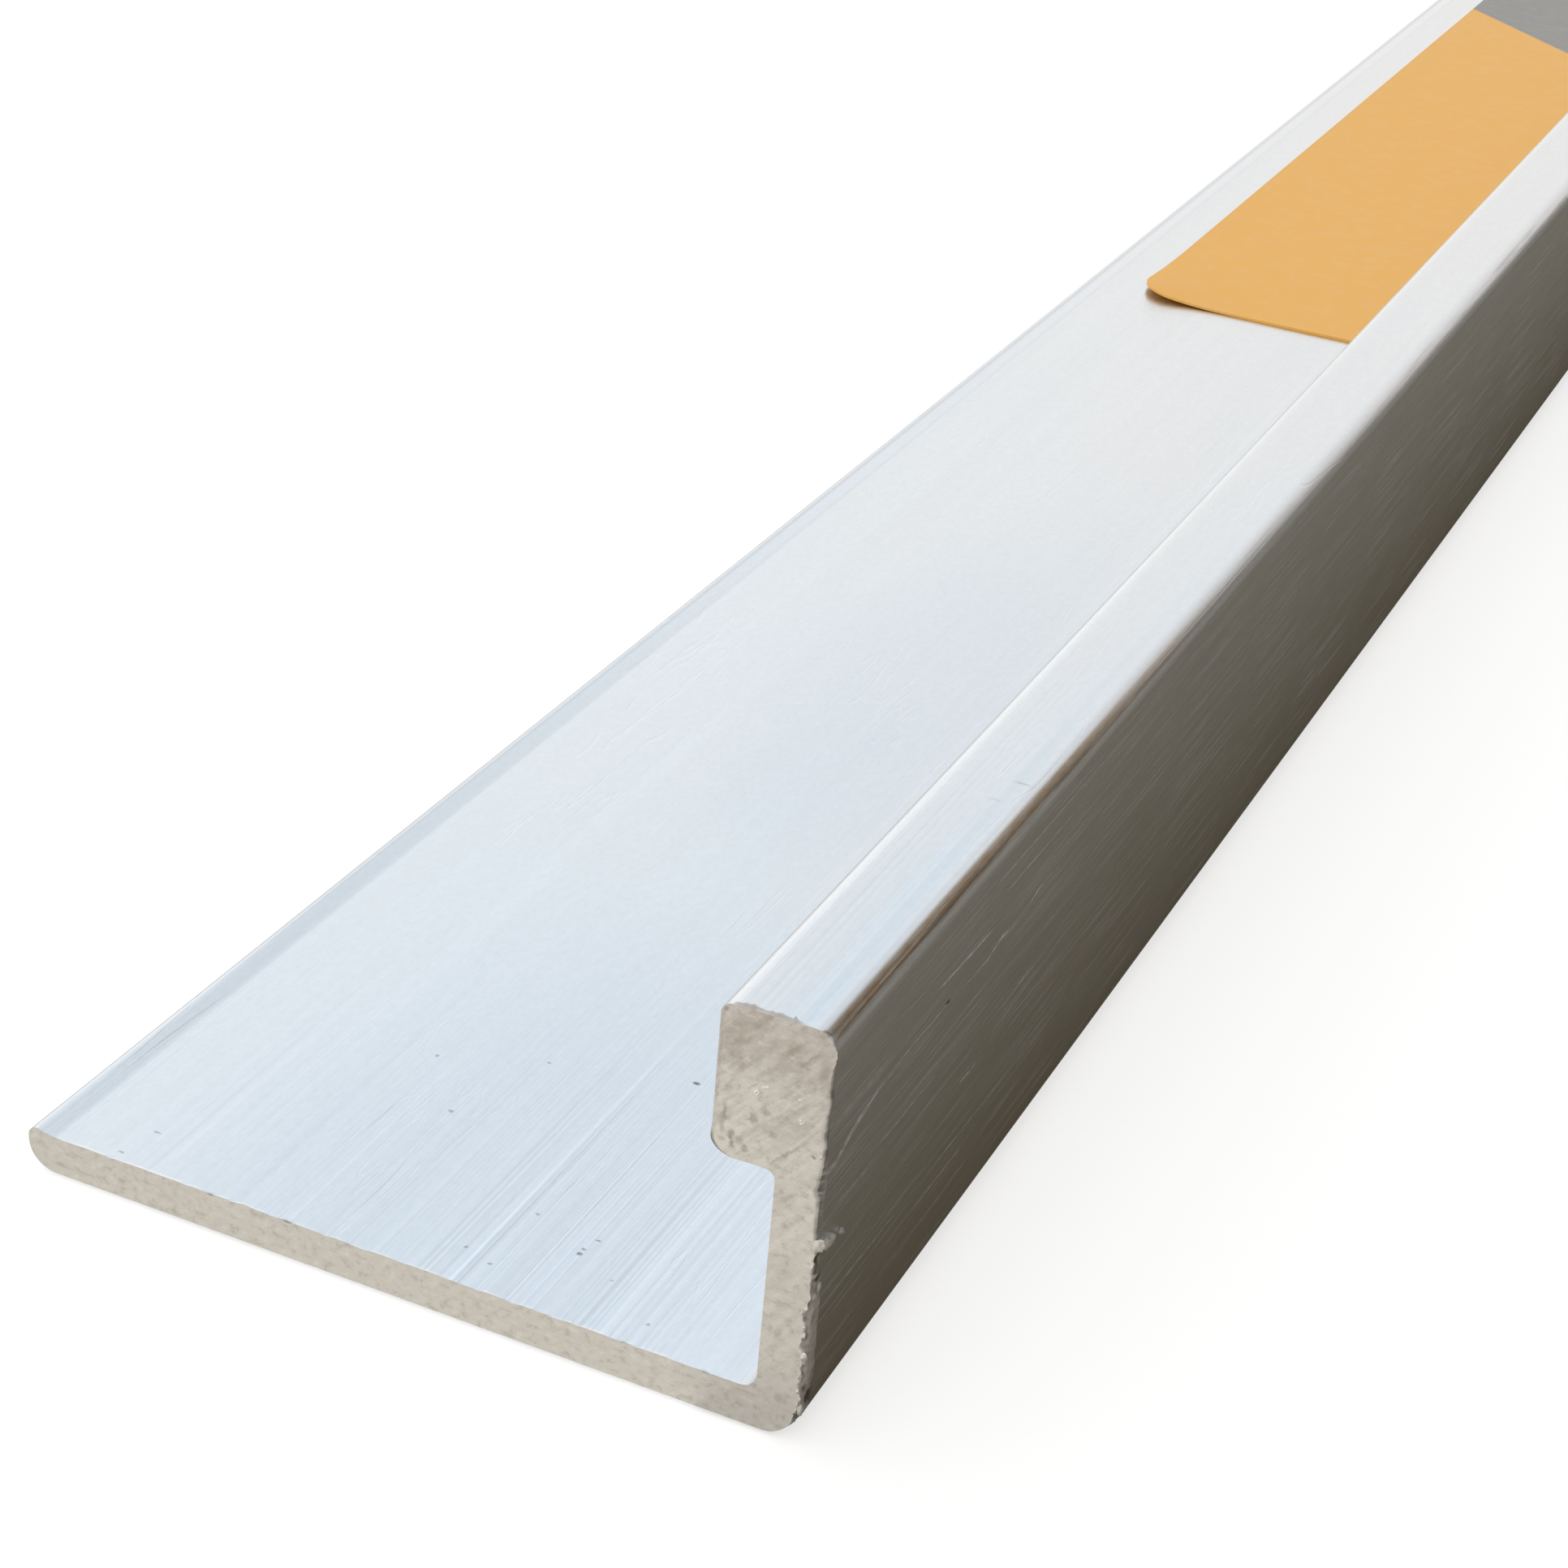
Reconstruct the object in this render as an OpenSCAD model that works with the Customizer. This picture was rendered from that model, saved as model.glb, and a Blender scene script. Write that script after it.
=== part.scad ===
// Tile edge trim: one aluminium extrusion that finishes the open edge of a tiled floor or wall.
// A wide thin flange lies under the tile, a leg stands at its side, and a thick head on the leg
// shows beside the tile's edge. X runs across the trim, Y along it and Z up.

/* [Trim] */
// Length of the trim as it is sold
trim_length = 2500; // [500:100:3000]
// Overall height, which matches the tile and its adhesive
trim_height = 12.5; // [10:0.5:20]
// Overall width, from the flange's free edge to the outer face
trim_width = 24; // [20:0.5:40]

/* [Walls] */
// Thickness of the flange
flange_thick = 1.2; // [1.2:0.1:2]
// Thickness of the leg below the head
leg_thick = 1.3; // [1:0.05:1.5]
// Width of the head, from the tile's side to the outer face
head_w = 3.15; // [2.9:0.05:5]
// Height of the head
head_h = 4.45; // [3:0.05:6]

/* [Flange edge] */
// Radius under the flange's free edge
tip_under_r = 0.9; // [0.4:0.05:0.9]
// Radius over the flange's free edge
tip_over_r = 0.3; // [0.1:0.05:0.3]
// Height of the low bead that runs along the free edge
bead_rise = 0.12; // [0.05:0.01:0.3]
// Width of the bead
bead_w = 0.95; // [0.6:0.05:1.5]

/* [Corners] */
// Radius of the outer corner, where the flange turns up into the leg
heel_r = 1.1; // [0.4:0.1:1.5]
// Fillet between the flange and the leg
root_r = 0.5; // [0.3:0.05:1]
// Fillet between the leg and the underside of the head
undercut_r = 0.3; // [0.1:0.05:0.5]
// Radius of the head's lower edge on the tile's side
head_under_r = 0.7; // [0.2:0.05:0.9]
// Radius of the head's top edge on the outer side
head_outer_r = 0.6; // [0.2:0.05:1]
// Radius of the head's top edge on the tile's side
head_inner_r = 0.4; // [0.1:0.05:0.5]
// Width of the soft shoulder beside that edge
shoulder_w = 0.75; // [0.6:0.05:1.2]
// How far the shoulder drops from the top to that edge
shoulder_drop = 0.11; // [0.03:0.01:0.3]

/* [Label] */
// Length of the paper label on the flange
label_l = 110; // [60:5:160]
// Thickness of the label
label_thick = 0.12; // [0.08:0.01:0.3]
// Distance from the trim's near end to the label
label_from_end = 87; // [20:1:200]
// Distance from the flange's free edge to the label
label_from_edge = 2.8; // [2:0.1:6]
// Distance from the label to the leg
label_from_leg = 1.1; // [1:0.1:6]
// Radius of the label's corners
label_corner_r = 2; // [0.5:0.5:4]

/* [Hidden] */
$fn = 96;

// How far a cutting shape stands past the surface that it cuts
slack = 0.5;
outer_x = trim_width / 2;
tip_x = -outer_x;
leg_x = outer_x - leg_thick;
head_x = outer_x - head_w;
head_z = trim_height - head_h;
label_w = trim_width - leg_thick - label_from_edge - label_from_leg;

// Corner of a square less the circle that touches both its sides. The corner is at the origin and
// the circle is on its +X +Y side. Cut away, it rounds an edge, and added, it fills an inner corner.
module round_corner(r) {
    difference() {
        translate([-slack, -slack]) square(r + slack);
        translate([r, r]) circle(r);
    }
}

// The same, placed at a point and turned over so that its circle lies towards toward_x and toward_y
module round_corner_at(point, toward_x, toward_y, r) {
    translate(point)
        mirror([toward_x < 0 ? 1 : 0, 0])
        mirror([0, toward_y < 0 ? 1 : 0])
        round_corner(r);
}

// Waste over a soft shoulder. A wide arc leaves the level top at x = w and falls by drop at x = 0,
// and an arc of radius r, which touches both the wide arc and the upright side, ends it.
module shoulder_waste(w, drop, r) {
    wide_r = (w * w + drop * drop) / (2 * drop);
    small_y = sqrt(pow(wide_r - r, 2) - pow(w - r, 2)) - wide_r;
    meet_x = r - r * (w - r) / (wide_r - r);
    difference() {
        translate([-slack, -wide_r]) square([w + slack, wide_r + slack]);
        translate([w, -wide_r]) circle(wide_r);
    }
    difference() {
        translate([-slack, small_y]) square([meet_x + slack, slack - small_y]);
        translate([r, small_y]) circle(r);
    }
}

// Low bead along the flange's free edge, highest just inside the edge
module bead_section() {
    crest_x = tip_x + tip_over_r;
    polygon([
        [tip_x, flange_thick - slack],
        [tip_x + bead_w, flange_thick - slack],
        [tip_x + bead_w, flange_thick],
        [crest_x, flange_thick + bead_rise],
        [tip_x, flange_thick + bead_rise]
    ]);
}

// Walls of the section with all its edges still sharp
module sharp_section() {
    translate([tip_x, 0]) square([trim_width, flange_thick]);
    translate([leg_x, 0]) square([leg_thick, trim_height]);
    translate([head_x, head_z]) square([head_w, head_h]);
    bead_section();
}

// Cross section of the extrusion, drawn with the flange's free edge on the left
module trim_section() {
    difference() {
        union() {
            sharp_section();
            round_corner_at([leg_x, flange_thick], -1, 1, root_r);
            round_corner_at([leg_x, head_z], -1, -1, undercut_r);
        }
        round_corner_at([tip_x, 0], 1, 1, tip_under_r);
        round_corner_at([tip_x, flange_thick + bead_rise], 1, -1, tip_over_r);
        round_corner_at([outer_x, 0], -1, 1, heel_r);
        round_corner_at([outer_x, trim_height], -1, -1, head_outer_r);
        round_corner_at([head_x, head_z], 1, 1, head_under_r);
        translate([head_x, trim_height]) shoulder_waste(shoulder_w, shoulder_drop, head_inner_r);
    }
}

// The whole aluminium trim, extruded along Y and sawn square at both ends
module profile() {
    color("#d6e0e8")
        rotate([90, 0, 0])
        linear_extrude(trim_length, center = true)
        trim_section();
}

// Blank paper label stuck on the flange near one end
module label() {
    near_y = -trim_length / 2 + label_from_end;
    color("#eab26c")
        translate([tip_x + label_from_edge, near_y, flange_thick])
        linear_extrude(label_thick)
        difference() {
            square([label_w, label_l]);
            round_corner_at([0, 0], 1, 1, label_corner_r);
            round_corner_at([label_w, 0], -1, 1, label_corner_r);
            round_corner_at([0, label_l], 1, -1, label_corner_r);
            round_corner_at([label_w, label_l], -1, -1, label_corner_r);
        }
}

profile();
label();
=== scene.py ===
"""Tile edge trim: a matt aluminium extrusion with a sawn end and a paper label, on a pale floor.

The section is worked out in millimetres, with x across the trim and z up, and is carried along y.
Meshes are in metres.
"""

import math

import bpy
import numpy as np
from bpy.props import FloatProperty, FloatVectorProperty, IntProperty, PointerProperty
from mathutils import Matrix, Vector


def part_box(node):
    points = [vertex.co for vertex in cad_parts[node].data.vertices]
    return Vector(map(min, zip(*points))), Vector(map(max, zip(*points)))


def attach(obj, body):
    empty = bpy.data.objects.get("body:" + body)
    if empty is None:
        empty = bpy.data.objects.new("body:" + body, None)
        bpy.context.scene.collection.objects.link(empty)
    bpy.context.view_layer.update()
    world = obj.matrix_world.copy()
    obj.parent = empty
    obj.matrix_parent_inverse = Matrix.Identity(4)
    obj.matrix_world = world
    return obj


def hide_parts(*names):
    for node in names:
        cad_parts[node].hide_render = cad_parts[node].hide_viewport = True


bl_info = {
    "name": "Tile Edge Trim",
    "version": (1, 0, 0),
    "blender": (4, 5, 0),
    "location": "View3D > Sidebar > Trim",
    "description": "Builds an aluminium tile edge trim with a sawn end and a paper label",
    "category": "Add Mesh",
}

MM = 0.001

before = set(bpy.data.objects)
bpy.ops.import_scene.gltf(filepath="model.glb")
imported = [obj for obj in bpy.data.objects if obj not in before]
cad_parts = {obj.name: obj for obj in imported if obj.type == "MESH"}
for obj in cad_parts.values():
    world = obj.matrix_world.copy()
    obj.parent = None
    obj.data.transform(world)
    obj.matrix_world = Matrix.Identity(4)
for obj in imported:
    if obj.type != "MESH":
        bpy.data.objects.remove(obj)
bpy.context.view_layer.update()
TRIM_LO, TRIM_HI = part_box("profile")
LABEL_LO, LABEL_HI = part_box("label")


def length_prop(name, text, default, low=0.0, high=10.0):
    """A length in metres that the sidebar shows with its unit."""
    limits = {"min": low, "max": high}
    return FloatProperty(name=name, description=text, default=default, precision=5, unit="LENGTH", **limits)


def colour_prop(name, text, default):
    """A linear colour."""
    limits = {"min": 0.0, "max": 1.0, "size": 3}
    return FloatVectorProperty(name=name, description=text, default=default, subtype="COLOR", **limits)


def share_prop(name, text, default, low=0.0):
    """A share of one."""
    return FloatProperty(name=name, description=text, default=default, min=low, max=1.0, subtype="FACTOR")


class TrimSection(bpy.types.PropertyGroup):
    """Sizes of the extruded section."""

    length: length_prop("Length", "Length of the trim", TRIM_HI.y - TRIM_LO.y)
    width: length_prop("Width", "From the flange's free edge to the outer face", TRIM_HI.x - TRIM_LO.x)
    height: length_prop("Height", "Overall height", TRIM_HI.z - TRIM_LO.z)
    flange: length_prop("Flange", "Thickness of the flange", 0.0012)
    leg: length_prop("Leg", "Thickness of the leg below the head", 0.0013)
    head_width: length_prop("Head width", "Width of the head", 0.00315)
    head_height: length_prop("Head height", "Height of the head", 0.00445)
    tip_under: length_prop("Tip, under", "Radius under the flange's free edge", 0.0009)
    tip_over: length_prop("Tip, over", "Radius over the flange's free edge", 0.0003)
    bead_rise: length_prop("Bead rise", "Height of the bead along the free edge", 0.00012)
    bead_width: length_prop("Bead width", "Width of that bead", 0.00095)
    heel: length_prop("Heel", "Radius of the outer corner at the floor", 0.0011)
    root: length_prop("Root", "Fillet between the flange and the leg", 0.0005)
    undercut: length_prop("Undercut", "Fillet between the leg and the head", 0.0003)
    head_under: length_prop("Head, under", "Radius of the head's lower edge", 0.0007)
    head_outer: length_prop("Head, outer", "Radius of the head's outer top edge", 0.0006)
    head_inner: length_prop("Head, inner", "Radius of the head's inner top edge", 0.0004)
    shoulder: length_prop("Shoulder", "Width of the soft shoulder on the head", 0.00075)
    shoulder_drop: length_prop("Shoulder drop", "How far the shoulder falls", 0.00011)


class TrimSawing(bpy.types.PropertyGroup):
    """How rough the saw left the end."""

    ragged: length_prop("Ragged edge", "How unevenly the outer edge broke away", 0.00003)
    smear: length_prop("Smears", "Height of the smears on the sawn face", 0.000005)
    mottle: length_prop("Mottle", "Height of the fine pits on the sawn face", 0.000004)
    seed: IntProperty(name="Seed", description="Start of the random relief", default=11)


class TrimFinish(bpy.types.PropertyGroup):
    """Colours and gloss of the metal and the label."""

    metal: colour_prop("Metal", "Colour of the drawn aluminium", (0.80, 0.82, 0.85))
    sawn: colour_prop("Sawn metal", "Colour of the sawn end", (0.805, 0.785, 0.74))
    roughness: share_prop("Roughness", "Roughness of the metal", 0.30, 0.05)
    sawn_roughness: share_prop("Sawn roughness", "Roughness of the sawn end", 0.62, 0.05)
    label_field: colour_prop("Label", "Main colour of the label", (1.0, 0.53, 0.115))
    label_band: colour_prop("Label band", "Second colour of the label", (0.34, 0.33, 0.32))


class TrimStage(bpy.types.PropertyGroup):
    """Floor and camera."""

    floor: colour_prop("Floor", "Colour of the floor", (0.55, 0.55, 0.55))
    floor_glow: share_prop("Floor lift", "Light added to the floor to keep it pale", 0.64)
    lens: FloatProperty(
        name="Lens", description="Focal length for a 36 mm wide picture", default=72.88, min=10.0, max=300.0
    )


# ---- curves and random heights


def arc(cx, cz, r, start, end, n):
    """n points on the circle of radius r about (cx, cz), between two angles in degrees."""
    a = np.radians(np.linspace(start, end, n))
    return np.column_stack([cx + r * np.cos(a), cz + r * np.sin(a)])


def straight(a, b, share):
    """Points from a to b at the given shares of the way, or that many evenly spaced ones."""
    k = np.linspace(0, 1, share) if np.isscalar(share) else share
    return np.array(a) + k[:, None] * (np.array(b) - np.array(a))


def chain(*runs):
    """Runs set end to end. Each run's last point is the next one's first, so it is kept once."""
    return np.vstack([r[:-1] for r in runs[:-1]] + [runs[-1]])


def ease(k):
    """0 below 0, 1 above 1 and a smooth cubic step between."""
    k = np.clip(k, 0, 1)
    return k * k * (3 - 2 * k)


def patches(u, v, seed):
    """Smooth random heights from -1 to 1: a random value at each whole (u, v), blended by cubic steps.
    Either of them may be one number."""
    table = np.random.default_rng(seed).uniform(-1, 1, (128, 128))
    iu, iv = np.floor(u).astype(int), np.floor(v).astype(int)
    fu, fv = ease(u - iu), ease(v - iv)
    near = table[iu % 128, iv % 128] * (1 - fu) + table[(iu + 1) % 128, iv % 128] * fu
    far = table[iu % 128, (iv + 1) % 128] * (1 - fu) + table[(iu + 1) % 128, (iv + 1) % 128] * fu
    return near * (1 - fv) + far * fv


def bump_at(x, at, half_width):
    """A bell curve of height 1 at the place at."""
    return np.exp(-(((x - at) / half_width) ** 2))


# ---- the section

# Lines that the die left on the flange: place across it, half width and height, all in mm
DIE_LINES = (
    (1.66, 0.05, 0.005), (1.79, 0.022, -0.005), (1.9, 0.025, -0.005), (3.82, 0.05, 0.003),
    (7.04, 0.05, 0.003),
)


def section_sides(s):
    """The section as two paths that face each other, and the two short edges that close them.

    The first path runs along the tile's side, from the flange's free edge over its top, up the leg
    and round the head to its top. The second runs along the underside and up the outer face. Both
    are chains of straight runs and arcs with the same number of points in each pair of runs."""
    w, h = s.width / MM / 2, s.height / MM
    flange, leg_x = s.flange / MM, w - s.leg / MM
    head_x, head_z = w - s.head_width / MM, h - s.head_height / MM
    under, over, rise, bead = s.tip_under / MM, s.tip_over / MM, s.bead_rise / MM, s.bead_width / MM
    heel, root, undercut = s.heel / MM, s.root / MM, s.undercut / MM
    h_under, h_outer, h_inner = s.head_under / MM, s.head_outer / MM, s.head_inner / MM
    shoulder, drop = s.shoulder / MM, s.shoulder_drop / MM
    wide = (shoulder**2 + drop**2) / (2 * drop)
    inner_z = h + math.sqrt((wide - h_inner) ** 2 - (shoulder - h_inner) ** 2) - wide
    meet = math.degrees(math.atan2(inner_z - h + wide, h_inner - shoulder))

    # The flange's points stand closest together round the die lines
    lines = np.array([-w + bead, 1.55, 2.1, leg_x - root])
    runs = [np.linspace(a, b, n) for a, b, n in zip(lines[:-1], lines[1:], (150, 52, 100))]
    across = np.concatenate([runs[0][:-1], runs[1][:-1], runs[2]])
    share = (across - across[0]) / (across[-1] - across[0])
    top = straight((across[0], flange), (across[-1], flange), share)
    for at, half_width, height in DIE_LINES:
        top[:, 1] += height * bump_at(top[:, 0], at, half_width)

    tile_side = chain(
        straight((-w + over, flange + rise), (-w + bead, flange), 13),
        top,
        arc(leg_x - root, flange + root, root, 270, 360, 21),
        straight((leg_x, flange + root), (leg_x, head_z - undercut), 171),
        arc(leg_x - undercut, head_z - undercut, undercut, 0, 90, 11),
        straight((leg_x - undercut, head_z), (head_x + h_under, head_z), 14),
        arc(head_x + h_under, head_z + h_under, h_under, 270, 180, 17),
        straight((head_x, head_z + h_under), (head_x, inner_z), 50),
        arc(head_x + h_inner, inner_z, h_inner, 180, meet, 9),
        arc(head_x + shoulder, h - wide, wide, meet, 90, 25),
    )
    stops = [heel, *(head_z - undercut + np.array([0, 0.15, 0.5, 1.1])), h - h_outer - 0.45, h - h_outer]
    counts = [171, 11, 14, 17, 50, 9]
    rises = [straight((w, a), (w, b), n) for a, b, n in zip(stops[:-1], stops[1:], counts)]
    outer_side = chain(
        straight((-w + under, 0), (-w + under + 0.5, 0), 13),
        straight((-w + under + 0.5, 0), (w - heel, 0), share),
        arc(w - heel, heel, heel, 270, 360, 21),
        *rises,
        arc(w - h_outer, h - h_outer, h_outer, 0, 90, 25),
    )
    tip = chain(
        arc(-w + over, flange + rise - over, over, 90, 180, 7),
        straight((-w, flange + rise - over), (-w, under), 3),
        arc(-w + under, under, under, 180, 270, 19),
    )
    crown = straight((head_x + shoulder, h), (w - h_outer, h), len(tip))
    return tile_side, outer_side, tip, crown


def close_loop(tile_side, outer_side, tip, crown):
    """The section's outline as one loop: the tile's side, the crown, the outer side back and the tip."""
    return np.vstack([tile_side, crown[1:], outer_side[-2::-1], tip[-2:0:-1]])


def fill_loop(loop, n, m):
    """A grid of n by m points over the section, from its closed outline.

    Each point lies at its share of the way between the two long paths. Near the tip and the crown,
    where the short edges bend away from a straight line, the bend is added with a weight that fades
    inwards, as in a Coons patch."""
    side, crown = loop[:n], loop[n - 1 : n + m - 1]
    outer = loop[n + m - 2 : 2 * n + m - 2][::-1]
    tip = np.vstack([loop[0], loop[2 * n + m - 3 :][::-1]])
    t = np.linspace(0, 1, m)[None, :, None]
    grid = side[:, None] * (1 - t) + outer[:, None] * t
    step = np.r_[0, np.cumsum(np.hypot(*np.diff(side, axis=0).T))]
    from_tip = (1 - ease(step / 3.0))[:, None, None]
    from_crown = (1 - ease((step[-1] - step) / 0.8))[:, None, None]
    grid += from_tip * (tip[None] - (tip[0] * (1 - t) + tip[-1] * t))
    grid += from_crown * (crown[None] - (crown[0] * (1 - t) + crown[-1] * t))
    return grid


def outward(loop):
    """Unit vectors that point out of the section, a quarter turn from the loop's direction."""
    along = np.roll(loop, -1, axis=0) - np.roll(loop, 1, axis=0)
    along /= np.linalg.norm(along, axis=1, keepdims=True)
    return np.column_stack([-along[:, 1], along[:, 0]])


# ---- what the saw left

# Distances behind the cut at which the trim's outline is repeated, in mm
NEAR_STATIONS = np.r_[
    np.arange(0, 0.24, 0.03), np.arange(0.24, 0.8, 0.05), 0.86, 1.0, 1.4, 2, 3, 5, 8, 12, 18, 30, 90, 250, 600
]
FAR_STATIONS = np.array([0, 0.1, 1, 30, 400])
# How far the cut's outer edge is worn back, as pairs of height and depth in mm
RIM = (
    (0.0, 0.04), (0.6, 0.06), (0.75, 0.14), (1.17, 0.09), (1.43, 0.0), (1.72, 0.17), (2.05, 0.07),
    (2.3, 0.14), (2.55, 0.04), (2.8, 0.05), (2.93, 0.22), (3.2, 0.15), (3.4, 0.08), (3.73, 0.12),
    (3.85, 0.19), (4.08, 0.22), (4.22, 0.11), (4.6, 0.0), (5.06, 0.06), (5.36, 0.11), (5.7, 0.02),
    (5.93, 0.03), (6.15, 0.12), (6.9, 0.15), (7.6, 0.15), (7.71, 0.2), (7.82, 0.27), (8.02, 0.24),
    (8.4, 0.17), (8.76, 0.12), (9.1, 0.09), (9.45, 0.12), (10.13, 0.12), (10.43, 0.06), (10.99, 0.09),
    (11.33, 0.07), (11.68, 0.01), (11.85, -0.04), (11.98, -0.03), (12.1, 0.03), (12.3, 0.08), (12.42, 0.05),
    (12.5, 0.02),
)
# The torn band on the lower part of that edge: its length along the trim by height, its depth and its top
BAND, BAND_DEPTH, BAND_TOP = ((0.0, 0.45), (1.0, 0.6), (4.4, 0.6), (5.2, 0.32)), 0.05, 5.0
# Pits in it: distance behind the cut, height, half length, half height, depth, and how dark each is with
# painted shade
PITS = (
    (0.31, 5.1, 0.14, 0.08, 0.05, 1.3), (0.46, 1.22, 0.15, 0.18, 0.07, 1.4),
    (0.22, 1.62, 0.08, 0.12, 0.06, 0.6), (0.1, 3.31, 0.06, 0.09, 0.09, 1.1),
    (0.09, 3.88, 0.05, 0.1, 0.06, 0.35), (0.08, 4.35, 0.05, 0.09, 0.05, 0.3),
    (0.08, 2.6, 0.05, 0.12, 0.06, 0.35), (0.1, 2.02, 0.06, 0.12, 0.05, 0.35),
    (0.12, 5.82, 0.14, 0.1, 0.06, 0.75), (0.1, 0.75, 0.09, 0.12, 0.06, 0.55),
)
# The thin burr that stands up along the head's top edge: places across it and heights
LIP = (
    (9.15, 0.0), (9.3, 0.06), (9.6, 0.11), (9.8, 0.11), (10.0, 0.07), (10.4, 0.1), (10.7, 0.06),
    (10.8, 0.07), (10.86, 0.17), (10.94, 0.05), (11.3, 0.0),
)
# Nicks in the flange's edge: place across it, half width and depth, and darker spots in the same way
NICKS = ((-5.94, 0.12, 0.03), (-3.47, 0.2, 0.03), (9.25, 0.15, 0.03), (-4.81, 0.15, -0.03))
NICK_DARKENING = ((-5.94, 0.1, 0.8), (-3.47, 0.15, 0.8), (6.84, 0.1, 0.48), (9.25, 0.12, 0.56))


def cut_damage(loop, y, sawing, half_width):
    """How the saw marked the outline at each of its points and each distance y behind the cut.

    Returns how far the outline is pushed in, in mm, how dark it is, and where it is torn. The outer
    edge wears back by its measured depth, which falls as a power of the distance. Its lower part
    slopes over a longer band with a groove just behind the cut, random roughness and bell-shaped pits,
    and its upper part only has scuffs. A thin lip stands up behind the head's top edge, the head's lower
    edge swells a little, its inner one wears back, and the flange's edge has shallow nicks. The darkness
    is partly stains and partly painted shade: in the torn band, its groove and pits, along the upper
    edge, on the lip and under the head's lower edge."""
    x, z = np.hsplit(loop, 2)
    out_x, out_z = np.hsplit(outward(loop), 2)
    ragged, seed = sawing.ragged / MM, sawing.seed
    back = y[None]
    edge = ease((out_x - 0.2) / 0.5) * (x > half_width - 1.2)
    rim = 0.6 * patches(z / 0.1, 0, seed) + 0.4 * patches(z / 0.05, 0, seed + 1)
    rim = np.interp(z, *np.array(RIM).T) + ragged * rim
    reach = 0.13 + 0.35 * np.abs(rim) + ragged * patches(z / 0.3, 5, seed + 2)
    push = edge * rim * np.clip(1 - back / reach, 0, 1) ** 1.7

    low = edge * (1 - ease((z - BAND_TOP) / 0.5)) * ease(z / 0.6)
    band_reach = 2.2 * patches(z / 0.35, 7, seed + 3) + 1.2 * patches(z / 0.08, 0, seed + 4)
    band_reach = np.interp(z, *np.array(BAND).T) + ragged * band_reach
    slope = np.clip(1 - back / band_reach, 0, 1)
    rough = patches(z / 0.09, back / 0.08, seed + 5) + 0.6 * patches(z / 0.045, back / 0.04, seed + 6)
    groove = bump_at(back, 0.11, 0.05) * (0.6 + 0.6 * patches(z / 0.22, 0, seed + 7))
    rough *= 0.6 * ragged * ease(slope * 4) * ease(back / 0.05)
    push += low * (BAND_DEPTH * slope**1.6 + 0.05 * groove + rough)
    # Darkening of the torn band, partly stains and partly painted shade, with more painted shade in its
    # groove
    ridges = patches(z / 0.6, back / 0.07, seed + 12)
    darkening = 0.50 - 0.22 * slope + 0.14 * patches(z / 0.2, back / 0.3, seed + 8) + 0.1 * ridges
    darkening = low * ease(back / 0.08) * (slope > 0) * (darkening + 0.15 * np.clip(groove, 0, 1))
    # Painted shade along the upper part of the outer edge, mixed with scuffs
    rub_and_shade = 0.55 + 0.45 * patches(z / 0.25, back / 0.4, seed + 13)
    rolled = edge * ease((z - BAND_TOP) / 0.5) * (1 - ease((z - 11.6) / 0.4))
    darkening += rolled * rub_and_shade * (0.30 + 0.38 * ease(back / 0.03)) * (1 - ease((back - 0.09) / 0.12))
    # Each pit is pushed in and darkened with painted shade
    for at_y, at_z, long, high, deep, black in PITS:
        bell = edge * np.exp(-(((back - at_y) / long) ** 2) - ((z - at_z) / high) ** 2)
        push += deep * bell
        darkening += black * bell

    top = ((out_z > 0.8) & (z > 12)).astype(float)
    lip = top * np.interp(x, *np.array(LIP).T) * (1 + 0.25 * patches(x / 0.07, 0, seed + 9))
    push += 0.35 * lip * (1 - ease(back / 0.03)) - lip * bump_at(back, 0.065, 0.04)
    # Painted shade on the lip
    darkening += (6 * lip * bump_at(back, 0.03, 0.03)).clip(0, 0.4)
    under = ((out_x < -0.1) | (out_z < -0.5)) * bump_at(z, 8.35, 0.3) * (x < 9.8) * (z > 7.9)
    push -= 0.04 * under * (1 - ease(back / 0.13))
    inner = ease((-out_x - 0.5) / 0.3) * ease((z - 8.4) / 0.4)
    push += 0.05 * inner * np.clip(1 - back / 0.11, 0, 1) ** 1.5
    # Painted shade under the head's lower edge
    darkening += 0.9 * under * (1 - ease(back / 0.15))

    flange_top = ((out_z > 0.8) & (z < 2)).astype(float)
    nick = 0.05 * np.maximum(patches(x / 0.25, 3, seed + 10) - 0.35, 0) - 0.012
    nick -= 0.01 * patches(x / 0.4, 8, seed + 11)
    nick += sum(depth * bump_at(x, at, wide) for at, wide, depth in NICKS)
    push += flange_top * nick * (1 - ease(back / 0.12))
    spots = sum(black * bump_at(x, at, wide) for at, wide, black in NICK_DARKENING)
    darkening += flange_top * spots * (1 - ease(back / 0.1))
    worn_off = flange_top * sum(height * bump_at(x, at, wide) for at, wide, height in DIE_LINES)
    push += 0.85 * worn_off * ease((back - 6) / 16)

    torn = (edge > 0.3) & (((z < BAND_TOP + 0.3) & (back < band_reach)) | (back < 0.08))
    return push, np.clip(darkening, 0, 0.9), torn


def sawn_relief(x, z, sawing):
    """How deep the sawn face lies at (x, z) in mm: smears that climb across the head and fine pits."""
    turn = math.radians(52)
    along, across = x * math.cos(turn) + z * math.sin(turn), z * math.cos(turn) - x * math.sin(turn)
    seed = sawing.seed + 20
    smear = patches(along / 1.3, across / 0.16, seed) + 0.6 * patches(along / 0.7, across / 0.08, seed + 1)
    fine = patches(x / 0.22, z / 0.16, seed + 2) + 0.7 * patches(x / 0.1, z / 0.08, seed + 3)
    on_head = ease((z - 6.5) / 3)
    relief = sawing.smear / MM * smear * (0.25 + 0.75 * on_head) + sawing.mottle / MM * fine
    return np.clip(relief + 0.012, 0.0, 0.028)


# ---- meshes


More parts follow.
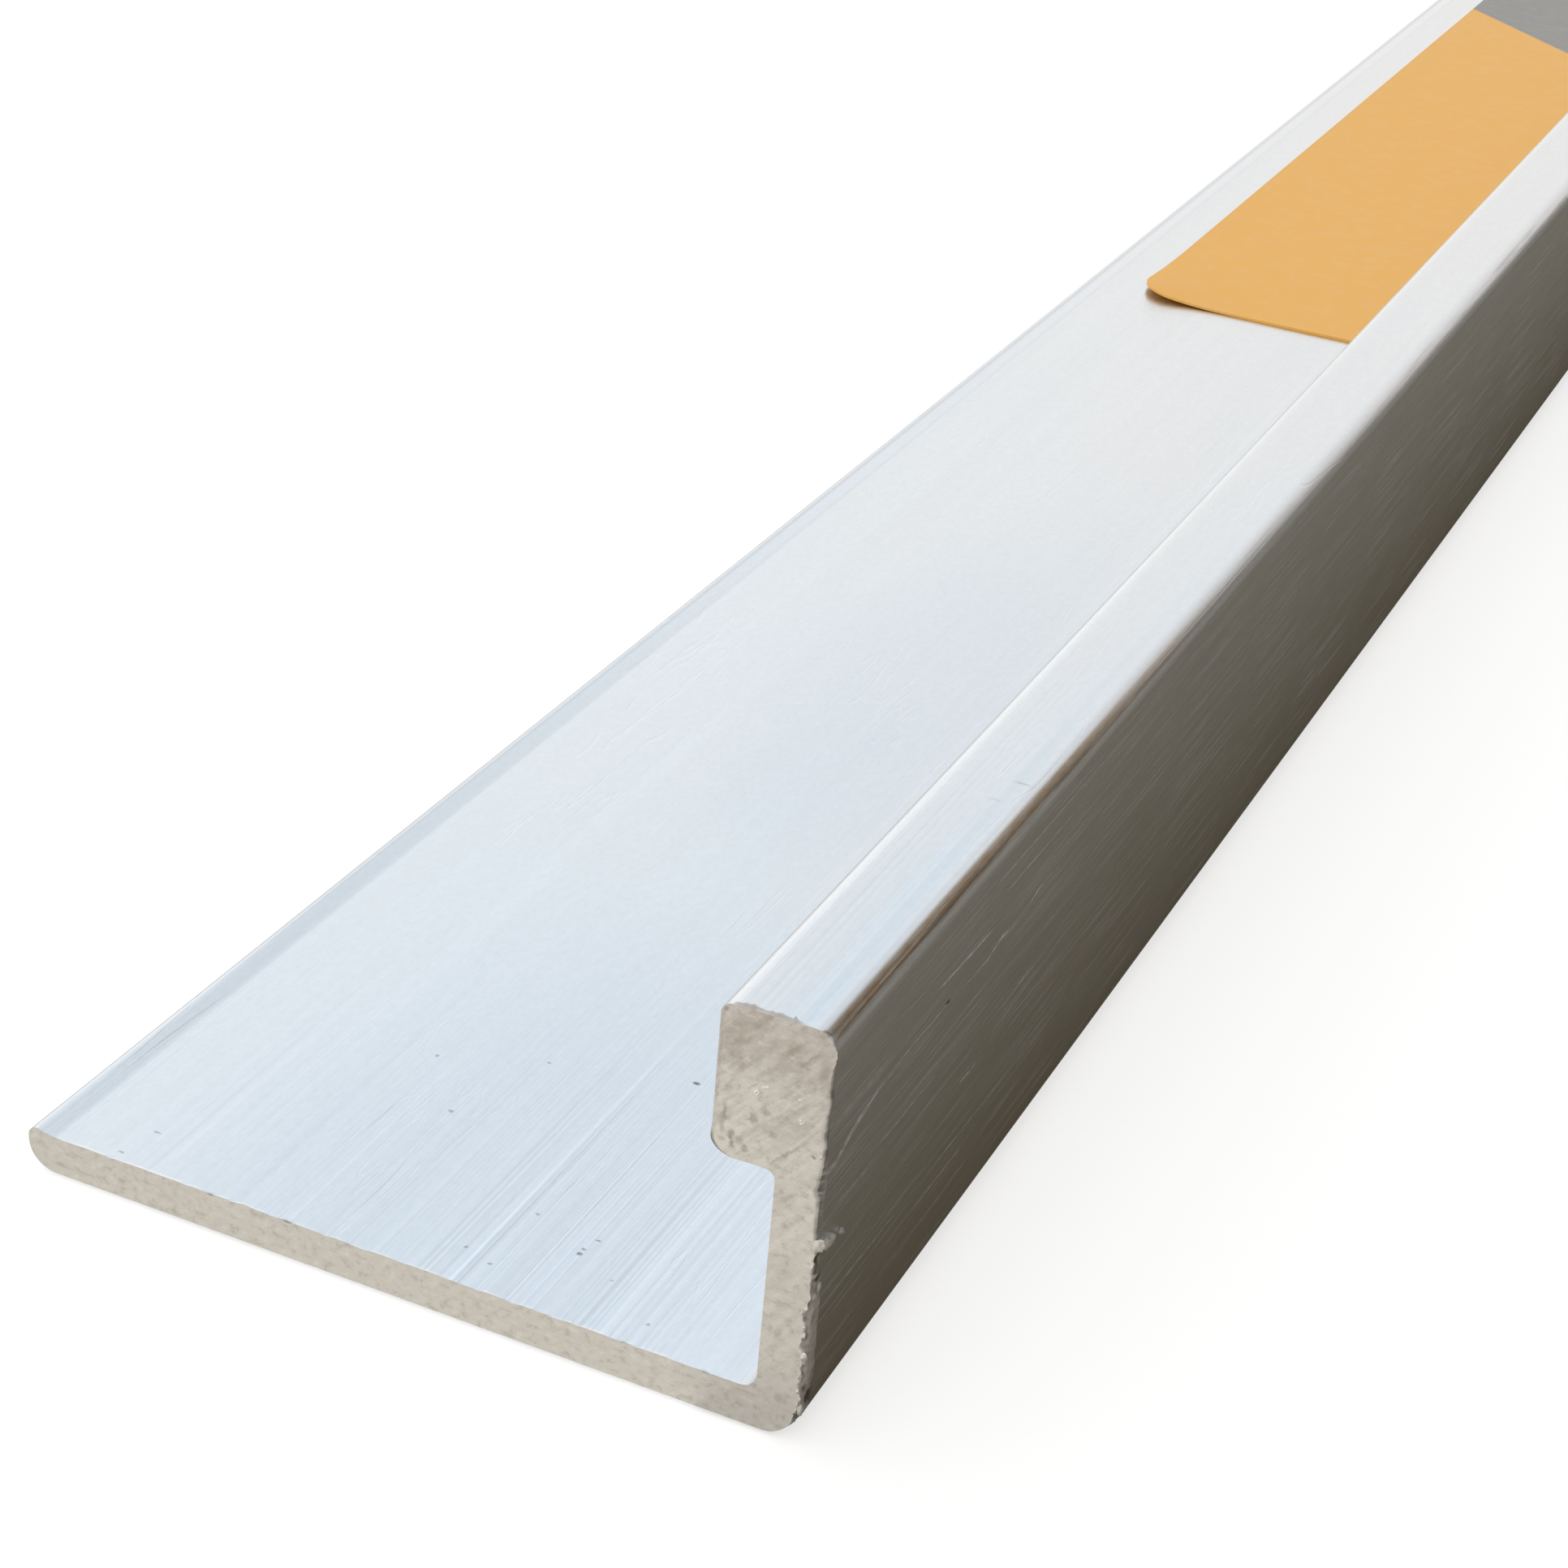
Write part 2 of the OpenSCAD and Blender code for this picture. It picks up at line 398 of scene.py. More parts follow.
def new_mesh(name, points, faces, material_index=None):
    """An object at the origin from arrays of points in metres and four-cornered faces, shaded smooth."""
    mesh = bpy.data.meshes.new(name)
    mesh.from_pydata(points, [], faces)
    mesh.update()
    mesh.polygons.foreach_set("use_smooth", np.ones(len(mesh.polygons), bool))
    if material_index is not None:
        mesh.polygons.foreach_set("material_index", material_index.astype(np.int32))
    mesh.validate()
    obj = bpy.data.objects.new(name, mesh)
    bpy.context.scene.collection.objects.link(obj)
    return obj


def store(obj, name, values):
    """A value at each point of the mesh, for a material to read."""
    layer = obj.data.attributes.new(name, "FLOAT", "POINT")
    layer.data.foreach_set("value", values.astype(np.float32))


def grid_faces(ids, flip=False):
    """The faces between the neighbouring entries of a table of point numbers."""
    a, b, c, d = ids[:-1, :-1], ids[1:, :-1], ids[1:, 1:], ids[:-1, 1:]
    corners = (a, d, c, b) if flip else (a, b, c, d)
    return np.stack([k.ravel() for k in corners], axis=1)


def build_extrusion(section, sawing):
    """The trim: its outline carried along y, with both sawn ends filled from the same outline.

    Station j repeats the outline at y(j), pushed in along its outward direction by the cut's damage.
    The ends are grids between the section's two long sides, and their y follows the sawn relief."""
    tile_side, outer_side, tip, crown = section_sides(section)
    n, m = len(tile_side), len(tip)
    loop = close_loop(tile_side, outer_side, tip, crown)
    length = section.length / MM
    back = length - FAR_STATIONS[::-1]
    y = np.r_[NEAR_STATIONS, back]
    damage, grime_and_painted_shade, torn = cut_damage(loop, y, sawing, section.width / MM / 2)
    rings = loop[:, None] - outward(loop)[:, None] * damage[..., None]
    count, stations = len(loop), len(y)

    s_at = np.r_[np.arange(n), np.full(m - 1, n - 1), np.arange(n - 2, -1, -1), np.full(m - 2, 0)]
    t_at = np.r_[np.zeros(n, int), np.arange(1, m), np.full(n - 1, m - 1), np.arange(m - 2, 0, -1)]
    inside = np.ones((n, m), bool)
    inside[s_at, t_at] = False
    ids = np.arange(stations * count).reshape(stations, count)
    ring_y = np.tile(y, (count, 1))
    fills, ends = [], []
    # Each end's relief is read from its own part of the random heights
    for station, inwards, shift in ((0, 1, (0, 0)), (-1, -1, (31, 17))):
        end = fill_loop(rings[:, station], n, m)
        deep = inwards * sawn_relief(end[..., 0] + shift[0], end[..., 1] + shift[1], sawing)
        ring_y[:, station] += deep[s_at, t_at]
        fills.append(np.column_stack([end[inside][:, 0], y[station] + deep[inside], end[inside][:, 1]]))
        table = np.empty((n, m), int)
        table[s_at, t_at] = ids[station]
        table[inside] = ids.size + len(ends) * inside.sum() + np.arange(inside.sum())
        ends.append(grid_faces(table, flip=inwards > 0))
    skin = np.stack([rings[..., 0], ring_y, rings[..., 1]], axis=-1).transpose(1, 0, 2).reshape(-1, 3)
    points = np.vstack([skin, *fills])
    points[:, 1] -= length / 2
    skin_faces = grid_faces(np.hstack([ids, ids[:, :1]]).T)
    faces = np.vstack([skin_faces, *ends])

    # The torn parts of the outer edge have the sawn finish too
    of_point = torn.T.ravel()
    sawn = np.zeros(len(faces), int)
    sawn[: len(skin_faces)] = of_point[skin_faces].sum(axis=1) >= 3
    sawn[len(skin_faces) :] = 1

    obj = new_mesh("trim_profile", points * MM, faces, sawn)
    # Dirt and painted shade at the cut, for the finishes to lay on
    shade = np.zeros(len(points))
    shade[: stations * count] = grime_and_painted_shade.T.ravel()
    store(obj, "grime_and_painted_shade", shade)
    # The cut is painted pale along its outer edge, less so round the head's top: a painted highlight on its
    # burnished rim
    x, z = loop[:, 0], loop[:, 1]
    spread = 0.65 + 0.35 * patches(z / 0.4, 0, sawing.seed + 30)
    rim = ease((outward(loop)[:, 0] - 0.2) / 0.5) * (x > 10) * spread * (1 - 0.8 * ease((z - 10.2) / 0.8))
    pale = np.zeros(len(points))
    pale[: stations * count] = (rim[:, None] * (1 - ease(y[None] / 0.09))).T.ravel()
    store(obj, "burnished_highlight", pale)
    obj.data.set_sharp_from_angle(angle=math.radians(38))
    return obj


def lump(centre, radii, turn, seed, n=18, m=12):
    """A small torn crumb: a sphere by longitude and latitude with smooth random changes of its radius."""
    around = np.linspace(0, 2 * np.pi, n, endpoint=False)
    lon, lat = np.meshgrid(around, np.linspace(-np.pi / 2, np.pi / 2, m)[1:-1], indexing="ij")
    ball = np.stack([np.cos(lat) * np.cos(lon), np.cos(lat) * np.sin(lon), np.sin(lat)], axis=-1)
    ball = np.vstack([ball.reshape(-1, 3), [[0, 0, -1], [0, 0, 1]]])
    swell = 1 + 0.28 * patches(ball[:, 0] * 1.7 + 9, ball[:, 1] * 1.7 + ball[:, 2] * 1.3 + 9, seed)
    rot = np.array(Matrix.Rotation(turn, 3, "X"))
    points = (ball * swell[:, None] * np.array(radii)) @ rot.T + np.array(centre)
    ids = np.arange(n * (m - 2)).reshape(n, m - 2)
    ids = np.vstack([ids, ids[:1]])
    faces = [list(f) for f in grid_faces(ids)]
    south, north = n * (m - 2), n * (m - 2) + 1
    faces += [[south, ids[k + 1, 0], ids[k, 0]] for k in range(n)]
    faces += [[north, ids[k, -1], ids[k + 1, -1]] for k in range(n)]
    return points, faces


# Crumbs of metal by the cut: how far each stands out of the outer face, distance behind the cut, height,
# radii, turn and how much darker it is
CRUMBS = (
    (0.04, 0.05, 6.28, (0.17, 0.13, 0.18), 0.3, 0.08), (-0.05, 0.03, 6.14, (0.12, 0.1, 0.12), 0.8, 0.1),
    (0.07, 0.42, 6.1, (0.13, 0.17, 0.17), 0.5, 0.45), (0.05, 0.82, 6.0, (0.09, 0.2, 0.09), 0.6, 0.42),
    (0.06, 1.42, 5.86, (0.1, 0.09, 0.09), 0.6, 0.55), (0.0, 0.42, 4.74, (0.05, 0.11, 0.14), 0.2, 0.3),
    (-0.02, 0.22, 4.55, (0.05, 0.1, 0.1), 0.2, 0.35), (-0.05, 0.06, 1.02, (0.08, 0.1, 0.17), 0.2, 0.12),
)
# Bright torn bits along the cut's outer edge: height, half width and half height
GLINTS = (
    (8.9, 0.03, 0.05), (5.55, 0.03, 0.1), (4.27, 0.06, 0.08), (4.1, 0.035, 0.06), (3.62, 0.04, 0.12),
    (3.42, 0.035, 0.1), (3.14, 0.04, 0.09), (2.76, 0.1, 0.14), (2.6, 0.07, 0.1), (2.12, 0.06, 0.14),
    (1.95, 0.06, 0.12), (1.62, 0.045, 0.06), (1.36, 0.02, 0.09), (1.18, 0.02, 0.09), (0.95, 0.018, 0.09),
    (0.78, 0.018, 0.07),
)
# Pale specks on the sawn face: place across and up, and half sizes
SPECKS = (
    (9.97, 10.17, 0.035, 0.045), (10.02, 10.24, 0.045, 0.03), (10.07, 10.18, 0.03, 0.05),
    (10.02, 10.12, 0.045, 0.03), (10.2, 10.38, 0.05, 0.03), (10.28, 10.43, 0.055, 0.035),
    (11.17, 10.36, 0.05, 0.035), (11.24, 9.76, 0.03, 0.045), (11.26, 9.69, 0.05, 0.03),
    (11.33, 9.74, 0.025, 0.03),
)


def build_crumbs(section, sawing):
    """The crumbs as one mesh, half sunk in the outer face, in its broken edge or in the sawn face."""
    half, front = section.width / MM / 2, -section.length / MM / 2
    spots = [((half + out, front + back, z), *shape, 0) for out, back, z, *shape in CRUMBS]
    for z, wide, high in GLINTS:
        x = half - max(0.0, np.interp(z, *np.array(RIM).T)) - 0.02
        x -= (section.heel / MM) * (1 - math.sqrt(1 - max(0.0, 1 - z / (section.heel / MM)) ** 2))
        spots.append(((x, front + 0.015, z), (wide, 0.05, high), 0.0, 0.0, 1))
    for x, z, wide, high in SPECKS:
        spots.append(((x, front + 0.004, z), (wide, 0.035, high), 0.0, 0.0, 2))
    lumps = [lump(*spot[:3], sawing.seed + 40 + k) for k, spot in enumerate(spots)]
    count = len(lumps[0][0])
    faces = [[v + k * count for v in quad] for k, (_, quads) in enumerate(lumps) for quad in quads]
    bright = np.repeat([spot[4] for spot in spots], len(lumps[0][1]))
    obj = new_mesh("saw_crumbs", np.vstack([points for points, _ in lumps]) * MM, faces, bright)
    store(obj, "grime_and_painted_shade", np.repeat([spot[3] for spot in spots], count))
    return obj


def build_label(lo, hi, corner=2.0, lift=0.3):
    """The label: a thin sheet with round corners on a grid of u across and v along.

    Each row is drawn in by the corner circle's sagitta near the two ends. The corner nearest the
    trim's edge and the cut has come loose, and rises by a bell curve of its distance."""
    x0, y0, z0 = (c / MM for c in lo)
    x1, y1, z1 = (c / MM for c in hi)
    v, end = 0.5 - 0.5 * np.cos(np.linspace(0, np.pi, 121)), np.linspace(0, corner / (y1 - y0), 9)
    v = np.unique(np.r_[v, end, 1 - end])
    u = 0.5 - 0.5 * np.cos(np.linspace(0, np.pi, 41))
    y = y0 + (y1 - y0) * v
    from_end = np.minimum(np.minimum(y - y0, y1 - y), corner)
    inset = corner - np.sqrt(corner**2 - (corner - from_end) ** 2)
    x = (x0 + inset)[None] + u[:, None] * (x1 - x0 - 2 * inset)[None]
    y = np.tile(y, (len(u), 1))
    loose = lift * np.exp(-(((x - x0) / 2.6) ** 2) - ((y - y0) / 4.0) ** 2)
    top = np.stack([x, y, z1 + loose], axis=-1)
    under = np.stack([x, y, z0 + loose + 0.004], axis=-1)
    a, b = x.shape
    ids = np.arange(a * b).reshape(a, b)
    rim = np.r_[ids[:, 0], ids[-1, 1:], ids[-2::-1, -1], ids[0, -2:0:-1]]
    closed = np.r_[rim, rim[:1]]
    wall = grid_faces(np.stack([closed, closed + a * b]), flip=True)
    faces = np.vstack([grid_faces(ids), grid_faces(ids + a * b, flip=True), wall])
    obj = new_mesh("paper_label", np.vstack([top.reshape(-1, 3), under.reshape(-1, 3)]) * MM, faces)
    obj.data.set_sharp_from_angle(angle=math.radians(50))
    return obj


# ---- finishes


class Finish:
    """A material's nodes, added one by one. An input is given a value, or another node's output to link."""

    def __init__(self, tree):
        self.tree = tree
        tree.nodes.clear()

    def add(self, kind, inputs=(), **settings):
        node = self.tree.nodes.new(kind)
        for key, value in settings.items():
            setattr(node, key, value)
        for key, value in dict(inputs).items():
            socket = node.inputs[key]
            if isinstance(value, bpy.types.NodeSocket):
                self.tree.links.new(value, socket)
            else:
                socket.default_value = value
        return node

    def maths(self, operation, a, b=0.0, c=0.0):
        return self.add("ShaderNodeMath", {0: a, 1: b, 2: c}, operation=operation).outputs[0]

    def times(self, a, b, plus=0.0):
        """a times b, plus another amount."""
        return self.maths("MULTIPLY_ADD", a, b, plus)

    def vectors(self, operation, inputs, output=0):
        """One step of vector maths."""
        return self.add("ShaderNodeVectorMath", inputs, operation=operation).outputs[output]

    def split(self, vector):
        """A vector's three parts."""
        return self.add("ShaderNodeSeparateXYZ", {0: vector}).outputs

    def attribute(self, name):
        """The values stored on the mesh under this name."""
        return self.add("ShaderNodeAttribute", attribute_name=name).outputs["Fac"]

    def surface(self, inputs, kind="ShaderNodeBsdfPrincipled"):
        """The shader itself, which ends the material."""
        self.add("ShaderNodeOutputMaterial", {"Surface": self.add(kind, inputs).outputs[0]})

    def ramp(self, value, low, high, to_low=0.0, to_high=1.0):
        """The value's share of the way from low to high, set between to_low and to_high."""
        inputs = {"Value": value, "From Min": low, "From Max": high, "To Min": to_low, "To Max": to_high}
        return self.add("ShaderNodeMapRange", inputs, interpolation_type="SMOOTHSTEP").outputs["Result"]

    def between(self, value, a, b, c, d):
        """0 up to a, 1 from b to c and 0 again from d."""
        return self.times(self.ramp(value, a, b), self.ramp(value, c, d, 1.0, 0.0))

    def mix(self, share, a, b, blend="MIX"):
        """Two colours mixed by a share."""
        inputs = {0: share, 6: a, 7: b}
        return self.add("ShaderNodeMix", inputs, data_type="RGBA", blend_type=blend).outputs[2]

    def layers(self, tone, *tints):
        """A colour with others laid over it in turn, each as a share and a colour."""
        for share, colour in tints:
            tone = self.mix(share, tone, colour)
        return tone

    def colours(self, value, stops):
        """The colour at the value, between stops that are a place from 0 to 1 and a colour."""
        node = self.add("ShaderNodeValToRGB", {"Fac": value})
        elements = node.color_ramp.elements
        while len(elements) > 1:
            elements.remove(elements[-1])
        elements[0].position, elements[0].color = stops[0]
        for where, colour in stops[1:]:
            elements.new(where).color = colour
        return node.outputs[0]

    def place(self):
        """The object's own coordinates in millimetres."""
        coords = self.add("ShaderNodeTexCoord").outputs["Object"]
        return self.vectors("SCALE", {0: coords, "Scale": 1 / MM})

    def stretch(self, vector, scale, turn=(0, 0, 0), shift=(0, 0, 0)):
        """The coordinates turned, then stretched."""
        if any(turn):
            angles = tuple(math.radians(k) for k in turn)
            vector = self.add("ShaderNodeMapping", {"Vector": vector, "Rotation": angles}).outputs[0]
        inputs = {"Vector": vector, "Scale": scale, "Location": shift}
        return self.add("ShaderNodeMapping", inputs).outputs[0]

    def noise(self, vector, detail=2.0, roughness=0.5):
        inputs = {"Vector": vector, "Scale": 1.0, "Detail": detail, "Roughness": roughness}
        return self.add("ShaderNodeTexNoise", inputs).outputs["Fac"]

    def marks(self, vector, entries):
        """The strongest of several soft-edged ellipsoids, each a centre, half sizes and strength."""
        total = 0.0
        for at, radii, strength in entries:
            inputs = {0: vector, 1: [1 / r for r in radii], 2: [-c / r for c, r in zip(at, radii)]}
            near = self.vectors("MULTIPLY_ADD", inputs)
            off = self.vectors("LENGTH", {0: near}, "Value")
            total = self.maths("MAXIMUM", self.ramp(off, 0.4, 1.6, strength, 0.0), total)
        return total

    def path(self, along, up, stops, far):
        """A scratch along a path. Each stop is a place along, a height, a strength and a half width."""
        scale = 16.0
        stops = [(a / far, (z / scale, strength, width, 1)) for a, z, strength, width in stops]
        found = self.colours(self.maths("DIVIDE", along, far), stops)
        height, strength, width = self.add("ShaderNodeSeparateColor", {0: found}).outputs
        off = self.maths("ABSOLUTE", self.times(height, -scale, up))
        inside = self.ramp(self.maths("DIVIDE", off, width), 0.3, 1.7, 1.0, 0.0)
        return self.times(inside, strength)

    def lines(self, across, entries):
        """Thin lines side by side, as changes about 0: a place across, a half width and a change each."""
        low, high = entries[0][0] - 0.5, entries[-1][0] + 0.5
        stops = [(low, 0.0), (high, 0.0)]
        for at, half_width, change in entries:
            stops += [(at - half_width, 0.0), (at, change), (at + half_width, 0.0)]
        stops = [((at - low) / (high - low), rgba((0.5 + change,) * 3)) for at, change in sorted(stops)]
        share = self.times(across, 1 / (high - low), -low / (high - low))
        return self.maths("SUBTRACT", self.colours(share, stops), 0.5)

    def wobble(self, vector, size, amount):
        """The coordinates shifted a little at random, so that marks get uneven outlines."""
        inputs = {"Vector": self.stretch(vector, size), "Scale": 1.0, "Detail": 2.0}
        drift = self.add("ShaderNodeTexNoise", inputs).outputs["Color"]
        drift = self.vectors("SUBTRACT", {0: drift, 1: (0.5, 0.5, 0.5)})
        return self.vectors("MULTIPLY_ADD", {0: drift, 1: amount, 2: vector})

    def scratches(self, vector, width):
        """Thin lines where a smooth noise passes through its middle value."""
        off = self.maths("ABSOLUTE", self.maths("SUBTRACT", self.noise(vector, 1.0), 0.5))
        return self.ramp(off, 0.0, width, 1.0, 0.0)


def new_finish(name):
    material = bpy.data.materials.new(name)
    material.use_nodes = True
    return material, Finish(material.node_tree)


def rgba(colour, k=1.0):
    """The colour times k, which is one number or three."""
    return (*(np.array(colour) * k), 1.0)


# The length of the outer face that its scratches cover, and the scratches as paths: distance behind the
# cut, height, strength and half width at each stop
SCRATCHED = 32.0
FACE_PATHS = (
    (
        (0.0, 8.38, 0.4, 0.11), (0.7, 8.4, 0.7, 0.11), (1.4, 8.68, 0.8, 0.1), (2.2, 8.92, 1.0, 0.09),
        (3.2, 9.1, 0.9, 0.07), (3.5, 9.12, 0.4, 0.045), (5.4, 9.19, 0.6, 0.04), (7.6, 9.15, 0.5, 0.04),
        (8.0, 9.14, 0.15, 0.04), (9.6, 9.05, 0.4, 0.03), (10.8, 8.98, 0.9, 0.03), (11.4, 9.1, 0.9, 0.04),
        (11.8, 9.22, 1.0, 0.07), (12.2, 9.12, 0.8, 0.05), (12.6, 9.09, 0.6, 0.04), (13.8, 9.15, 0.3, 0.03),
        (14.6, 9.3, 1.0, 0.05), (15.4, 9.32, 0.5, 0.04), (16.0, 9.32, 0.0, 0.04),
    ),
    (
        (0.0, 9.68, 0.0, 0.1), (0.6, 9.7, 0.35, 0.11), (3.5, 9.7, 0.35, 0.11), (4.4, 9.68, 0.0, 0.05),
        (7.0, 10.05, 0.0, 0.04), (7.4, 10.03, 0.9, 0.04), (9.2, 9.95, 1.0, 0.045), (10.5, 9.88, 1.0, 0.04),
        (11.0, 9.86, 0.1, 0.03), (14.0, 9.7, 0.2, 0.03), (20.0, 9.5, 0.3, 0.04), (26.0, 9.4, 0.0, 0.04),
    ),
    (
        (0.3, 3.95, 0.0, 0.03), (0.8, 3.94, 0.3, 0.03), (2.5, 3.88, 0.55, 0.035), (5.2, 3.8, 0.45, 0.035),
        (6.0, 3.77, 0.25, 0.025), (8.4, 3.7, 0.3, 0.025), (8.8, 3.68, 0.6, 0.03), (13.2, 3.55, 0.5, 0.03),
        (14.0, 3.53, 0.15, 0.025), (19.0, 3.4, 0.25, 0.025), (24.0, 3.3, 0.0, 0.04),
    ),
    (
        (0.8, 6.86, 0.0, 0.04), (1.2, 6.86, 0.4, 0.045), (3.0, 6.83, 0.35, 0.045), (3.6, 7.1, 0.0, 0.04),
        (4.0, 7.12, 0.5, 0.04), (7.0, 7.09, 0.5, 0.04), (7.6, 7.07, 0.0, 0.04), (9.6, 5.62, 0.0, 0.04),
        (9.8, 5.61, 0.7, 0.045), (10.7, 5.59, 0.6, 0.04), (11.0, 5.58, 0.0, 0.04), (13.7, 6.56, 0.0, 0.04),
        (14.0, 6.55, 0.6, 0.045), (14.9, 6.53, 0.5, 0.04), (15.3, 6.5, 0.0, 0.04),
    ),
    (
        (6.8, 3.03, 0.0, 0.04), (7.2, 3.02, 0.4, 0.04), (10.4, 2.96, 0.4, 0.04), (10.7, 11.33, 0.0, 0.03),
        (11.0, 11.33, 0.6, 0.035), (14.8, 11.3, 0.5, 0.035), (22.0, 11.2, 0.3, 0.03),
        (30.0, 11.1, 0.0, 0.03),
    ),
    (
        (4.5, 2.25, 0.0, 0.04), (5.0, 2.24, 0.3, 0.035), (10.8, 2.15, 0.3, 0.035), (11.2, 2.14, 0.0, 0.03),
        (11.9, 10.67, 0.0, 0.03), (12.2, 10.67, 0.6, 0.035), (14.8, 10.63, 0.6, 0.035),
        (18.0, 10.6, 0.2, 0.03), (30.0, 10.5, 0.0, 0.03),
    ),
)
# Dark specks on the flange: place across, distance behind the cut, half sizes and strength
FLANGE_SPECKS = (
    (4.09, 2.8, 0.07, 0.07, 0.7), (4.08, 3.05, 0.06, 0.05, 0.6), (4.25, 3.57, 0.09, 0.04, 0.6),
    (2.22, 1.18, 0.06, 0.04, 0.5), (1.3, 1.5, 0.05, 0.06, 0.5), (2.25, 3.8, 0.07, 0.05, 0.4),
    (3.16, 11.9, 0.1, 0.07, 0.8), (-2.3, 6.9, 0.07, 0.06, 0.45), (-4.1, 9.2, 0.06, 0.06, 0.4),
    (-8.84, 1.7, 0.12, 0.03, 0.5), (-9.13, 0.4, 0.1, 0.03, 0.5), (-1.1, 10.6, 0.06, 0.05, 0.5),
    (7.1, 1.0, 0.05, 0.06, 0.4), (5.4, 2.2, 0.05, 0.05, 0.35),
)
# Those on the head's top in the same way, and one on the outer face by distance and height
HEAD_SPECKS = ((11.17, 14.5, 0.25, 0.05, 0.25), (10.84, 13.2, 0.22, 0.04, 0.2))
FACE_SPECKS = ((7.85, 9.2, 0.14, 0.05, 0.9),)
# Painted highlights and shade of the lines that the die left on the flange, bright and dark lines of tone
# that stand in for the light on their relief: place across, half width and change of tone
DIE_LINE_HIGHLIGHTS_AND_SHADE = (
    (
        (-8.03, 0.1, -0.05), (-7.76, 0.09, 0.055), (-5.7, 0.09, -0.03), (-5.12, 0.08, -0.035),
        (-3.44, 0.1, 0.04), (-0.68, 0.1, 0.05),
    ),
    (
        (0.64, 0.05, -0.05), (0.73, 0.04, 0.08), (0.83, 0.05, -0.05), (0.92, 0.04, 0.04),
        (1.12, 0.06, -0.035), (1.34, 0.08, -0.06), (1.66, 0.075, 0.25), (1.78, 0.04, -0.08),
        (1.9, 0.055, -0.12), (2.08, 0.07, 0.07),
    ),
    (
        (2.45, 0.08, 0.055), (2.95, 0.08, -0.05), (3.29, 0.04, -0.08), (3.37, 0.035, 0.08),
        (3.44, 0.03, -0.06), (3.55, 0.06, 0.06), (3.82, 0.06, 0.06), (4.33, 0.06, -0.035),
    ),
    (
        (5.37, 0.06, -0.05), (5.56, 0.08, -0.075), (5.86, 0.07, 0.055), (6.18, 0.09, 0.05),
        (6.45, 0.045, -0.09), (6.62, 0.05, 0.05), (6.89, 0.06, -0.05), (7.04, 0.06, 0.09),
        (7.33, 0.07, -0.05), (8.14, 0.1, -0.05),
    ),
)
# Painted highlight and shade on the head's top, in the same way: a highlight along its inner edge with shade
# beside it, and darker lines across the rest
HEAD_HIGHLIGHT_AND_SHADE = (
    (9.06, 0.05, -0.08), (9.21, 0.08, 0.04), (9.36, 0.06, -0.075), (9.47, 0.05, -0.075),
    (9.62, 0.06, -0.015), (9.77, 0.08, -0.065), (9.97, 0.11, -0.05), (10.19, 0.11, -0.045),
    (10.5, 0.2, -0.025), (11.04, 0.24, -0.065),
)
# Soft darker patches on the flange: place across, distance behind the cut, half sizes and strength
TOP_PATCHES = (
    (1.5, 3.0, 8.0, 15.0, 0.9), (-1.1, 35.7, 1.2, 2.0, 0.7), (-4.2, 34.0, 0.8, 1.4, 0.5),
    (-4.5, 30.5, 1.0, 1.2, 0.35), (0.1, 47.3, 1.3, 2.0, 0.5), (-1.5, 40.0, 4.5, 14.0, 0.6),
)

# Tints of the drawn metal: a cooler one on the head, the scuff with painted shade along its edge, the specks
# and the cut's grime with painted shade
COOL, SCUFF_AND_SHADE_BROWN = (0.95, 0.99, 1.02, 1), (0.52, 0.33, 0.13, 1)
SPECK_DARK, GRIME_AND_SHADE = (0.10, 0.095, 0.08, 1), (0.10, 0.07, 0.045, 1)


